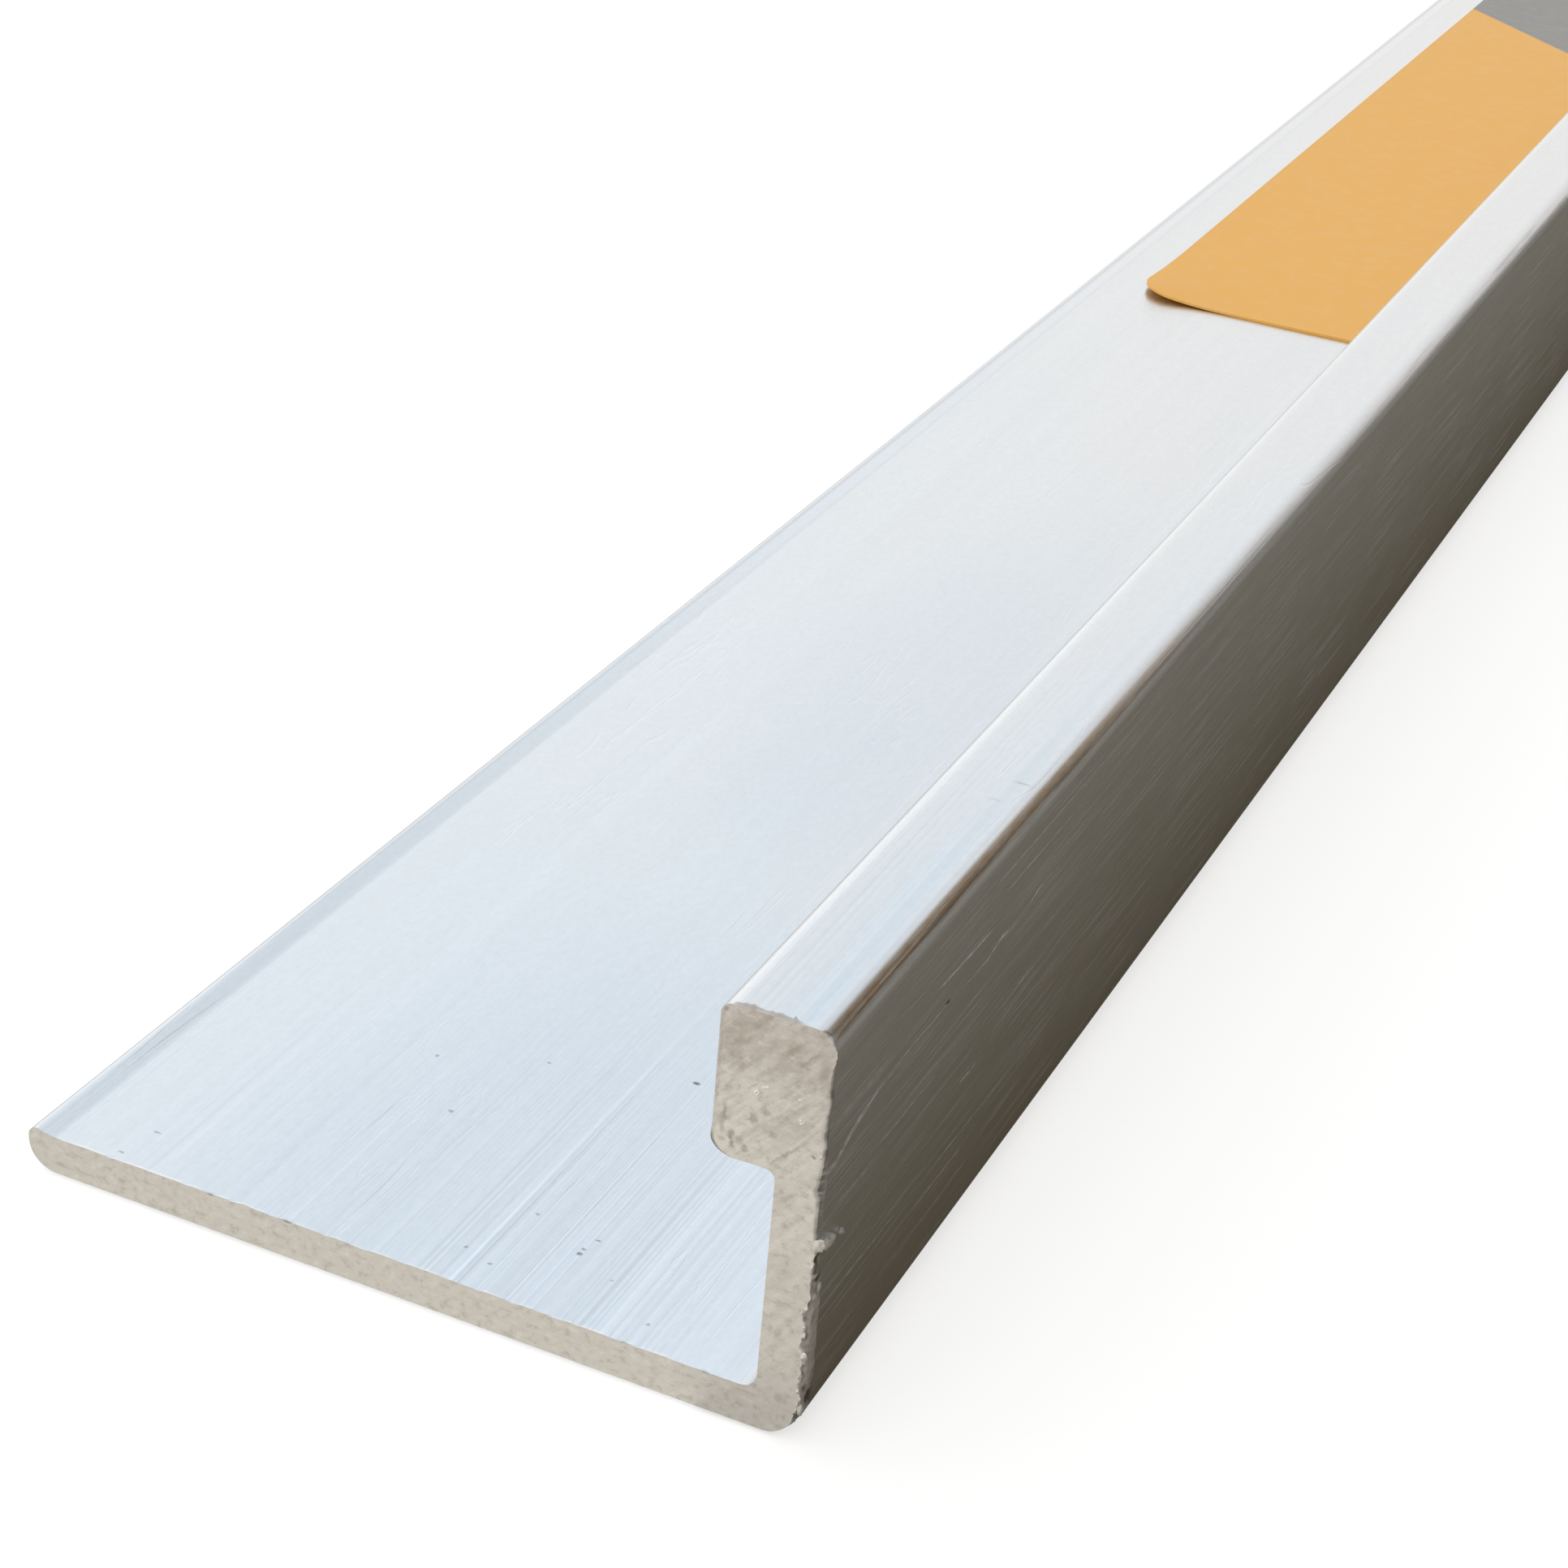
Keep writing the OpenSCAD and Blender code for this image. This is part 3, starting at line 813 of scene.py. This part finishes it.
def drawn_aluminium(finish, section):
    """Matt aluminium as the die left it: soft streaks along y, fine die lines that gather beside the leg,
    clouding, sparse scratches at a small angle, dark specks, and stains with painted shade where the mesh
    says so. Painted highlights and shade lie on the die lines, the head's top and outer edge, and the
    flange's free edge, bead and root fillet."""
    material, f = new_finish("drawn_aluminium")
    place = f.place()
    front, half = -section.length / MM / 2, section.width / MM / 2
    parts = f.split(place)
    across, behind, up = parts[0], f.maths("SUBTRACT", parts[1], front), parts[2]
    near = f.ramp(behind, 2.0, 22.0, 1.0, 0.16)
    calm = f.times(near, f.ramp(across, 7.4, 8.4, 1.0, 0.35))
    streak = f.noise(f.stretch(place, (4.0, 0.02, 4.0)), 5.0, 0.6)
    broad = f.noise(f.stretch(place, (1.1, 0.012, 1.1), shift=(4, 0, 9)), 2.0)
    fine = f.noise(f.stretch(place, (10.0, 0.03, 10.0)), 3.0, 0.65)
    gather = f.times(f.ramp(across, 0.8, 4.0, 0.5, 1.0), f.ramp(broad, 0.35, 0.6, 0.4, 1.0))
    cloud = f.noise(f.stretch(place, (0.16, 0.05, 0.16)), 3.0)
    grain = f.noise(f.stretch(place, (7.0, 3.0, 7.0)), 3.0, 0.7)
    mask = f.ramp(f.noise(f.stretch(place, (0.3, 0.12, 0.5), shift=(7, 2, 5)), 2.0), 0.50, 0.64)
    scratch = f.scratches(f.stretch(place, (1.6, 0.05, 1.6), turn=(4.5, 0, 0)), 0.016)
    scratch = f.times(scratch, mask)

    uneven = f.wobble(place, (0.8, 0.8, 0.8), (0.12, 0.2, 0.12))
    flat = f.split(uneven)
    along = f.maths("SUBTRACT", flat[1], front)
    scored = 0.0
    for stops in FACE_PATHS:
        scored = f.maths("MAXIMUM", scored, f.path(along, flat[2], stops, SCRATCHED))
    scored = f.times(scored, f.ramp(grain, 0.42, 0.60, 0.50, 1.30))
    faint = f.noise(f.stretch(place, (1.0, 0.13, 11.0)), 4.0, 0.75)
    scored = f.maths("MAXIMUM", scored, f.ramp(faint, 0.49, 0.68, 0.0, 0.42))
    scored = f.times(scored, f.ramp(across, half - 0.4, half - 0.2))
    spotty = f.wobble(place, (9.0, 9.0, 9.0), (0.12, 0.12, 0.12))
    flange_z, top_z = section.flange / MM, section.height / MM
    speck = [((x, front + y, flange_z), (a, b, 1.0), k) for x, y, a, b, k in FLANGE_SPECKS]
    speck += [((x, front + y, top_z), (a, b, 1.0), k) for x, y, a, b, k in HEAD_SPECKS]
    speck += [((half, front + y, z), (1.0, a, b), k) for y, z, a, b, k in FACE_SPECKS]
    speck = f.marks(spotty, speck)
    drift = f.wobble(place, (0.35, 0.2, 0.35), (4.0, 5.0, 0.0))
    patch = f.marks(drift, [((x, front + y, flange_z), (a, b, 3.0), k) for x, y, a, b, k in TOP_PATCHES])

    on_flange = f.times(f.ramp(up, 1.6, 3.0, 1.0, 0.0), f.ramp(across, 11.2, 11.5, 1.0, 0.0))
    on_top = f.ramp(up, 11.0, 12.0)
    lines = f.times(f.ramp(fine, 0.3, 0.7, -0.06, 0.06), f.ramp(across, -5.0, 2.5, 0.35, 1.0))
    lines = f.times(f.times(lines, near), f.ramp(across, 7.4, 8.4, 1.0, 0.5), 1.0)
    # Painted highlight and shade on the head's top, fading away from the cut
    painted_highlights_and_shade = f.times(f.lines(across, HEAD_HIGHLIGHT_AND_SHADE), on_top)
    lines = f.times(painted_highlights_and_shade, f.ramp(behind, 4.0, 34.0, 1.0, 0.15), lines)
    # Painted highlights and shade on the flange's die lines, fading away from the cut
    painted_highlights_and_shade = 0.0
    for entries in DIE_LINE_HIGHLIGHTS_AND_SHADE:
        painted_highlights_and_shade = f.maths("ADD", f.lines(across, entries), painted_highlights_and_shade)
    lines = f.times(f.times(painted_highlights_and_shade, on_flange), f.ramp(behind, 0.0, 17.0, 1.0, 0.08), lines)
    lines = f.times(f.maths("SUBTRACT", grain, 0.5), 0.14, lines)
    # Painted light and shade: the flange is painted a little paler beside the leg and darker on the
    #     root fillet, its free edge darker further from the cut, and its bead darker near the cut and paler
    #     further back
    beside = f.maths("ADD", f.ramp(across, 3.0, 9.5, 0.0, 0.08), f.ramp(across, 10.15, 10.45, 0.0, -0.22))
    lines = f.times(beside, on_flange, lines)
    lines = f.times(f.ramp(across, -11.7, -11.55, -0.11, 0.0), f.ramp(behind, 6.0, 16.0), lines)
    bead = f.between(across, -11.65, -11.5, -11.25, -11.0)
    lines = f.times(bead, f.ramp(behind, 2.0, 60.0, -0.08, 0.09), lines)
    # Round the head's outer edge a painted highlight, a bright line, lies beside a scuffed brown one that
    #     runs on from the cut; the brown is partly scuff and partly painted shade that sharpens the edge's
    #     turn from light to dark
    radius = section.head_outer / MM
    aside, over = f.maths("SUBTRACT", across, half - radius), f.maths("SUBTRACT", up, top_z - radius)
    angle = f.times(f.maths("ARCTAN2", aside, over), 180 / math.pi, f.ramp(behind, 6.0, 26.0, 0.0, -6.0))
    on_edge = f.times(on_top, f.maths("GREATER_THAN", aside, 0.0))
    gleam = f.between(angle, 10.0, 18.0, 21.0, 28.0)
    gleam = f.times(gleam, f.ramp(behind, 12.0, 30.0, 0.20, 0.0))
    lines = f.times(gleam, on_edge, lines)
    scuff_and_shade = f.between(angle, 23.0, 31.0, 50.0, 64.0)
    scuff_and_shade = f.times(scuff_and_shade, f.between(behind, 0.05, 0.4, 14.0, 34.0))
    uneven_scuff_and_shade = f.ramp(f.noise(f.stretch(place, (5.0, 1.1, 5.0)), 4.0, 0.7), 0.3, 0.7, 0.42, 0.74)
    scuff_and_shade = f.times(f.times(scuff_and_shade, on_edge), uneven_scuff_and_shade)
    tone = f.layers(
        rgba(finish.metal, 0.99),
        (f.ramp(broad, 0.3, 0.7), rgba(finish.metal, 1.01)),
        (f.ramp(cloud, 0.35, 0.65, 0.0, 0.5), rgba(finish.metal, (1.015, 0.99, 0.985))),
        (patch, rgba(finish.metal, (0.915, 0.935, 0.965))),
    )
    tone = f.vectors("SCALE", {0: tone, "Scale": lines})
    cool = f.between(across, 10.3, 11.0, 11.25, 11.4)
    cool = f.times(f.times(cool, on_top), f.ramp(behind, 4.0, 40.0, 1.0, 0.0))
    tone = f.mix(cool, tone, COOL, "MULTIPLY")
    # The cut's dirt and painted shade, stored on the mesh
    grime_and_shade_share = f.attribute("grime_and_painted_shade")
    tone = f.layers(tone, (scuff_and_shade, SCUFF_AND_SHADE_BROWN), (speck, SPECK_DARK), (grime_and_shade_share, GRIME_AND_SHADE))
    rough = f.times(f.maths("SUBTRACT", streak, 0.5), 0.10, finish.roughness)
    rough = f.times(f.maths("MAXIMUM", grime_and_shade_share, scored), 0.35, rough)

    height = f.times(streak, 0.45)
    height = f.times(fine, f.times(gather, 2.0), height)
    height = f.times(height, calm)
    height = f.times(grain, 0.14, height)
    height = f.times(scratch, -0.45, height)
    height = f.times(scored, -0.9, height)
    bump = f.add("ShaderNodeBump", {"Height": height, "Strength": 1.0, "Distance": 1e-5})
    metallic = f.times(scored, -0.16, 1.0)
    f.surface({"Base Color": tone, "Roughness": rough, "Normal": bump.outputs[0], "Metallic": metallic})
    return material


# Brown marks on the sawn face: place across and up, half sizes and strength
BLOTS = (
    (9.2, 9.35, 0.07, 0.24, 0.5), (9.16, 8.9, 0.07, 0.25, 0.4), (9.43, 8.72, 0.09, 0.16, 0.7),
    (9.47, 8.45, 0.08, 0.12, 0.7), (9.82, 8.42, 0.1, 0.08, 0.55), (9.66, 8.62, 0.1, 0.16, 0.35),
    (10.0, 9.38, 0.09, 0.16, 0.55), (10.53, 9.08, 0.1, 0.1, 0.45), (10.26, 9.72, 0.09, 0.14, 0.35),
    (11.66, 8.82, 0.06, 0.035, 0.9), (9.02, 12.28, 0.07, 0.05, 0.5), (8.96, 11.3, 0.05, 0.7, 0.35),
    (8.96, 9.9, 0.04, 0.35, 0.35), (9.15, 8.52, 0.1, 0.07, 0.4), (9.3, 11.4, 0.3, 0.6, 0.25),
    (11.75, 11.3, 0.12, 0.45, 0.3), (-10.9, 0.35, 0.22, 0.08, 0.3), (11.35, 1.2, 0.12, 0.1, 0.3),
    (10.95, 3.3, 0.05, 0.12, 0.3), (11.7, 12.28, 0.26, 0.14, 0.22),
)
# Brown streaks that climb across it: place, half length, half width and strength
STREAKS = (
    (9.9, 10.32, 0.16, 0.03, 0.35), (10.9, 11.7, 0.5, 0.1, 0.35), (11.4, 11.6, 0.4, 0.07, 0.4),
    (11.0, 8.7, 0.65, 0.05, 0.4), (10.0, 12.2, 0.35, 0.1, 0.3), (9.55, 11.5, 0.4, 0.08, 0.25),
    (10.3, 10.9, 0.5, 0.07, 0.25), (11.1, 7.4, 0.3, 0.07, 0.3),
)
# Pale streaks, in the same way
PALE = (
    (10.75, 9.9, 0.75, 0.035, 0.8), (9.75, 9.95, 0.7, 0.04, 0.6), (10.9, 8.9, 0.45, 0.3, 0.6),
    (11.4, 12.0, 0.3, 0.22, 0.5), (9.4, 10.3, 0.12, 0.05, 0.7), (10.27, 9.47, 0.12, 0.04, 0.7),
    (10.4, 11.0, 0.6, 0.04, 0.4), (10.7, 10.6, 0.5, 0.05, 0.5),
)

# Tints of the sawn metal: its smears, blotches, the painted highlight on its burnished rim, brown marks, and
# dirt with painted shade
SMEAR, BLOTCH, BURNISHED_HIGHLIGHT = (0.49, 0.435, 0.37, 1), (0.515, 0.465, 0.40, 1), (1.0, 0.985, 0.95, 1)
MARK_BROWN, DIRT_AND_SHADE = (0.24, 0.165, 0.115, 1), (0.035, 0.024, 0.016, 1)


def sawn_aluminium(finish, section):
    """The sawn end: dull and warm, with faint smears that climb across the head and small brown blotches."""
    material, f = new_finish("sawn_aluminium")
    place = f.place()
    up = f.split(place)[2]
    on_head = f.maths("MAXIMUM", f.ramp(up, 6.0, 9.5), f.ramp(up, 1.2, 2.2, 0.2, 0.5))
    smear = f.noise(f.stretch(place, (0.6, 1.0, 3.4), turn=(0, 50, 0)), 4.0, 0.65)
    blotch = f.noise(f.stretch(place, (3.0, 1.0, 4.2)), 4.0, 0.65)
    grain = f.noise(f.stretch(place, (14.0, 6.0, 14.0)), 2.0, 0.6)
    front = -section.length / MM / 2
    uneven = f.wobble(place, (5.0, 1.0, 5.0), (0.22, 0.0, 0.22))
    blots = f.marks(uneven, [((x, front, z), (a, 0.6, b), k) for x, z, a, b, k in BLOTS])
    # The streaks are ellipses in coordinates turned by 45 degrees
    diagonal = math.sqrt(0.5)
    axes = ((diagonal, 0, diagonal), (-diagonal, 0, diagonal))
    rising, falling = (f.vectors("DOT_PRODUCT", {0: uneven, 1: axis}, "Value") for axis in axes)
    depth = f.split(uneven)[1]
    turned = f.add("ShaderNodeCombineXYZ", {0: rising, 1: depth, 2: falling}).outputs[0]

    def streaks(entries):
        spots = [(diagonal * (x + z), diagonal * (z - x), a, b, k) for x, z, a, b, k in entries]
        return f.marks(turned, [((rise, front, fall), (a, 0.6, b), k) for rise, fall, a, b, k in spots])

    blots = f.maths("MAXIMUM", blots, streaks(STREAKS))
    dark = f.times(f.ramp(smear, 0.60, 0.38), on_head)
    tone = f.layers(
        rgba(finish.sawn),
        (f.ramp(up, 1.0, 2.2), rgba(finish.sawn, 1.12)),
        (f.ramp(up, 9.3, 11.6), rgba(finish.sawn, (0.96, 0.935, 0.93))),
        (f.times(dark, 0.42), SMEAR),
        (f.ramp(blotch, 0.50, 0.68, 0.0, 0.50), BLOTCH),
        (f.ramp(blotch, 0.47, 0.33, 0.0, 0.5), rgba(finish.sawn, 1.18)),
        (f.ramp(grain, 0.55, 0.8, 0.0, 0.20), rgba(finish.sawn, 1.12)),
        (f.times(streaks(PALE), 0.5), rgba(finish.sawn, 1.14)),
        # A painted highlight along the burnished rim
        (f.attribute("burnished_highlight"), BURNISHED_HIGHLIGHT),
        (f.times(blots, 0.75), MARK_BROWN),
        # Dirt and painted shade from the mesh
        (f.attribute("grime_and_painted_shade"), DIRT_AND_SHADE),
    )
    height = f.maths("ADD", f.times(smear, on_head), f.times(grain, 0.3))
    bump = f.add("ShaderNodeBump", {"Height": height, "Strength": 1.0, "Distance": 2e-5})
    gloss = {"Roughness": finish.sawn_roughness, "Metallic": 0.35}
    f.surface({"Base Color": tone, "Normal": bump.outputs[0], **gloss})
    return material


def torn_aluminium(name, colour, metallic):
    """Fresh bright metal on the bits that the saw tore up."""
    material, f = new_finish(name)
    f.surface({"Base Color": rgba(colour), "Roughness": 0.34, "Metallic": metallic})
    return material


# Where the label's two fields meet: distance behind its front edge in mm, and slant per mm across
FIELDS_MEET, FIELDS_SLANT = 62.0, 0.9


def printed_paper(finish):
    """Smooth paper with two plain printed fields that meet in a slanted line."""
    material, f = new_finish("printed_paper")
    place = f.place()
    parts = f.split(place)
    edge = f.times(parts[0], FIELDS_SLANT, parts[1])
    boundary = LABEL_LO.y / MM + FIELDS_MEET
    field = f.ramp(edge, boundary - 0.2, boundary + 0.2)
    fibre = f.noise(f.stretch(place, (1.2, 1.2, 1.2)), 4.0, 0.6)
    tone = f.mix(field, rgba(finish.label_field), rgba(finish.label_band))
    tone = f.mix(f.ramp(fibre, 0.4, 0.7, 0.0, 0.06), tone, (0.9, 0.85, 0.75, 1))
    bump = f.add("ShaderNodeBump", {"Height": fibre, "Strength": 0.6, "Distance": 1e-5})
    f.surface({"Base Color": tone, "Roughness": 0.5, "Normal": bump.outputs[0], "Specular IOR Level": 0.25})
    return material


# ---- stage

# Colours of the surroundings by direction in degrees, 0 straight along the trim and positive to the right
AT_HORIZON = (
    (-180, (0.96, 0.92, 0.86)), (-110, (0.9, 0.89, 0.87)), (-60, (1.12, 1.13, 1.12)),
    (-28, (1.16, 1.17, 1.15)), (-19, (1.06, 1.03, 0.975)), (-8, (1.04, 1.0, 0.95)),
    (17, (0.98, 0.95, 0.91)), (22.5, (0.84, 0.81, 0.77)), (27.5, (0.075, 0.057, 0.034)),
    (42, (0.06, 0.046, 0.028)), (60, (0.19, 0.175, 0.155)), (95, (0.19, 0.175, 0.155)),
    (125, (0.6, 0.58, 0.54)), (180, (0.96, 0.92, 0.86)),
)
HIGH_UP = (
    (-180, (0.9, 0.88, 0.85)), (-110, (0.82, 0.84, 0.86)), (-60, (0.92, 0.99, 1.04)),
    (-36, (0.89, 0.975, 1.03)), (-28, (0.82, 0.91, 0.97)), (-8, (0.8, 0.88, 0.94)),
    (16, (0.78, 0.83, 0.87)), (22.5, (0.74, 0.76, 0.76)), (28.5, (0.1, 0.078, 0.055)),
    (75, (0.12, 0.1, 0.08)), (105, (0.5, 0.49, 0.47)), (180, (0.9, 0.88, 0.85)),
)
BELOW = (
    (-180, (0.78, 0.735, 0.665)), (-110, (0.6, 0.57, 0.52)), (-45, (0.48, 0.48, 0.47)),
    (-5, (0.38, 0.37, 0.36)), (8, (0.3, 0.28, 0.25)), (20, (0.15, 0.135, 0.11)), (105, (0.14, 0.125, 0.1)),
    (135, (0.5, 0.47, 0.42)), (180, (0.78, 0.735, 0.665)),
)
LIGHT = 1.2
# The dark right side leans in higher up, by LEAN radians per square of the height above LEAN_FROM
LEAN, LEAN_FROM = 1.64, 0.2
# A glowing strip beside the outer face that paints the reflection of shaded ground, darkest by the trim:
# how far under the trim it starts, and its colours by distance from there, in mm
GROUND_UNDER = 3
GROUND_SHADE_GLOW = (
    (0.0, (0.054, 0.041, 0.024)), (3.0, (0.067, 0.053, 0.033)), (6.0, (0.105, 0.09, 0.062)),
    (11.0, (0.158, 0.142, 0.112)), (25.0, (0.235, 0.22, 0.187)), (63.0, (0.3, 0.285, 0.255)),
)


def build_surroundings(scene):
    """Soft light from all round: a bright far left side, cooler higher up, and a dark right side.
    The camera sees plain white instead."""
    world = bpy.data.worlds.new("studio")
    scene.world = world
    world.use_nodes = True
    f = Finish(world.node_tree)
    direction = f.add("ShaderNodeTexCoord").outputs["Generated"]
    parts = f.split(direction)
    turn, up = f.maths("ARCTAN2", parts[0], parts[1]), parts[2]

    def band(stops):
        return f.colours(share, [((at + 180) / 360, rgba(colour, 1 / LIGHT)) for at, colour in stops])

    lean = f.maths("POWER", f.maths("MAXIMUM", f.maths("SUBTRACT", up, LEAN_FROM), 0.0), 2.0)
    lean = f.times(f.times(lean, LEAN), f.ramp(turn, -0.2, 0.1))
    share = f.times(f.maths("ADD", turn, lean), 1 / (2 * math.pi), 0.5)
    sky = f.mix(f.ramp(up, 0.36, 0.54), band(AT_HORIZON), band(HIGH_UP))
    sky = f.mix(f.ramp(up, 0.75, 0.95), sky, (0.86, 0.87, 0.87, 1))
    colour = f.mix(f.ramp(up, -0.12, 0.02, 1.0, 0.0), sky, band(BELOW))
    around = f.add("ShaderNodeBackground", {"Color": colour, "Strength": LIGHT})
    plain = f.add("ShaderNodeBackground", {"Color": (1, 1, 1, 1), "Strength": 1.0})
    seen = f.add("ShaderNodeLightPath").outputs["Is Camera Ray"]
    both = f.add("ShaderNodeMixShader", {0: seen, 1: around.outputs[0], 2: plain.outputs[0]})
    f.add("ShaderNodeOutputWorld", {"Surface": both.outputs[0]})


def level_sheet(name, low, high, z):
    """A level rectangle between two corners, in metres."""
    (x0, y0), (x1, y1) = low, high
    corners = np.array([(x0, y0, z), (x1, y0, z), (x1, y1, z), (x0, y1, z)])
    return new_mesh(name, corners, np.array([[0, 1, 2, 3]]))


def build_floor(stage):
    """A wide level floor just under the trim. It takes the trim's soft shadow but isn't mirrored in it."""
    material, f = new_finish("pale_floor")
    glow = {"Emission Color": (1, 1, 1, 1), "Emission Strength": stage.floor_glow}
    f.surface({"Base Color": rgba(stage.floor), "Roughness": 0.9, "Specular IOR Level": 0.1, **glow})
    floor = level_sheet("floor", (-200.0, -200.0), (200.0, 200.0), -0.0001)
    floor.data.materials.append(material)
    floor.visible_diffuse = floor.visible_glossy = False


def build_shade_reflection_strip(section):
    """A dimly glowing strip beside the outer face that only its reflection shows: a painted reflection of
    shaded ground, darkest by the trim.
    """
    material, f = new_finish("painted_ground_shade")
    across = f.split(f.place())[0]
    far = GROUND_SHADE_GLOW[-1][0]
    start = section.width / MM / 2 - GROUND_UNDER
    share = f.maths("DIVIDE", f.maths("SUBTRACT", across, start), far)
    colour = f.colours(share, [(k / far, rgba(c)) for k, c in GROUND_SHADE_GLOW])
    # It glows with painted shade, darkest by the trim, and is seen only in reflections
    f.surface({"Color": colour, "Strength": 1.0}, "ShaderNodeEmission")
    end = section.length / 2 + 0.06
    ground = level_sheet("painted_shade_strip", (start * MM, -end), (start * MM + 0.4, end), -0.00005)
    ground.data.materials.append(material)
    for kind in ("camera", "diffuse", "transmission", "volume_scatter", "shadow"):
        setattr(ground, "visible_" + kind, False)


def build_camera(scene, stage):
    """The camera stands in front of the sawn end, to the right and above, and looks along the trim."""
    data = bpy.data.cameras.new("camera")
    data.lens, data.sensor_width, data.clip_start, data.clip_end = stage.lens, 36.0, 0.001, 1000.0
    camera = bpy.data.objects.new("camera", data)
    right, up, back = (0.90513, 0.41812, 0.07694), (-0.26029, 0.40193, 0.87790), (0.33614, -0.81464, 0.47263)
    turn = Matrix((right, up, back)).transposed().to_4x4()
    camera.matrix_world = Matrix.Translation((0.034793, -1.310026, 0.053611)) @ turn
    scene.collection.objects.link(camera)
    scene.camera = camera


# ---- operators and sidebar


class TRIM_OT_profile(bpy.types.Operator):
    """Build the aluminium extrusion with its sawn ends"""

    bl_idname = "trim.profile"
    bl_label = "Extrusion"

    def execute(self, context):
        scene = context.scene
        obj = build_extrusion(scene.trim_section, scene.trim_sawing)
        obj.data.materials.append(drawn_aluminium(scene.trim_finish, scene.trim_section))
        obj.data.materials.append(sawn_aluminium(scene.trim_finish, scene.trim_section))
        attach(obj, "root")
        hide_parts("profile")
        return {"FINISHED"}


class TRIM_OT_crumbs(bpy.types.Operator):
    """Build the crumbs of metal that the saw left on the outer edge"""

    bl_idname = "trim.crumbs"
    bl_label = "Saw crumbs"

    def execute(self, context):
        obj = build_crumbs(context.scene.trim_section, context.scene.trim_sawing)
        obj.data.materials.append(bpy.data.materials["sawn_aluminium"])
        obj.data.materials.append(torn_aluminium("torn_aluminium", (0.93, 0.91, 0.87), 0.6))
        obj.data.materials.append(torn_aluminium("pale_specks", (1.0, 0.98, 0.93), 0.0))
        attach(obj, "root")
        return {"FINISHED"}


class TRIM_OT_label(bpy.types.Operator):
    """Build the paper label on the flange"""

    bl_idname = "trim.label"
    bl_label = "Label"

    def execute(self, context):
        obj = build_label(LABEL_LO, LABEL_HI)
        obj.data.materials.append(printed_paper(context.scene.trim_finish))
        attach(obj, "root")
        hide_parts("label")
        return {"FINISHED"}


class TRIM_OT_stage(bpy.types.Operator):
    """Build the floor, the light and the camera"""

    bl_idname = "trim.stage"
    bl_label = "Stage"

    def execute(self, context):
        scene = context.scene
        build_floor(scene.trim_stage)
        build_shade_reflection_strip(scene.trim_section)
        build_surroundings(scene)
        build_camera(scene, scene.trim_stage)
        scene.view_settings.view_transform = "Standard"
        return {"FINISHED"}


class TRIM_PT_sidebar(bpy.types.Panel):
    """Tools that build the trim"""

    bl_label = "Tile Edge Trim"
    bl_idname = "TRIM_PT_sidebar"
    bl_space_type = "VIEW_3D"
    bl_region_type = "UI"
    bl_category = "Trim"

    def draw(self, context):
        layout = self.layout
        for operator in OPERATORS:
            layout.operator(operator.bl_idname)
        for name, group in GROUPS.items():
            box = layout.box()
            for prop in group.__annotations__:
                box.prop(getattr(context.scene, name), prop)


OPERATORS = (TRIM_OT_profile, TRIM_OT_crumbs, TRIM_OT_label, TRIM_OT_stage)
GROUPS = {
    "trim_section": TrimSection,
    "trim_sawing": TrimSawing,
    "trim_finish": TrimFinish,
    "trim_stage": TrimStage,
}


def register():
    for cls in (*GROUPS.values(), *OPERATORS, TRIM_PT_sidebar):
        bpy.utils.register_class(cls)
    for name, group in GROUPS.items():
        setattr(bpy.types.Scene, name, PointerProperty(type=group))


def unregister():
    for name in GROUPS:
        delattr(bpy.types.Scene, name)
    for cls in reversed((*GROUPS.values(), *OPERATORS, TRIM_PT_sidebar)):
        bpy.utils.unregister_class(cls)


def main():
    """Builds everything in order."""
    register()
    bpy.ops.trim.profile()
    bpy.ops.trim.crumbs()
    bpy.ops.trim.label()
    bpy.ops.trim.stage()


if __name__ == "__main__":
    main()
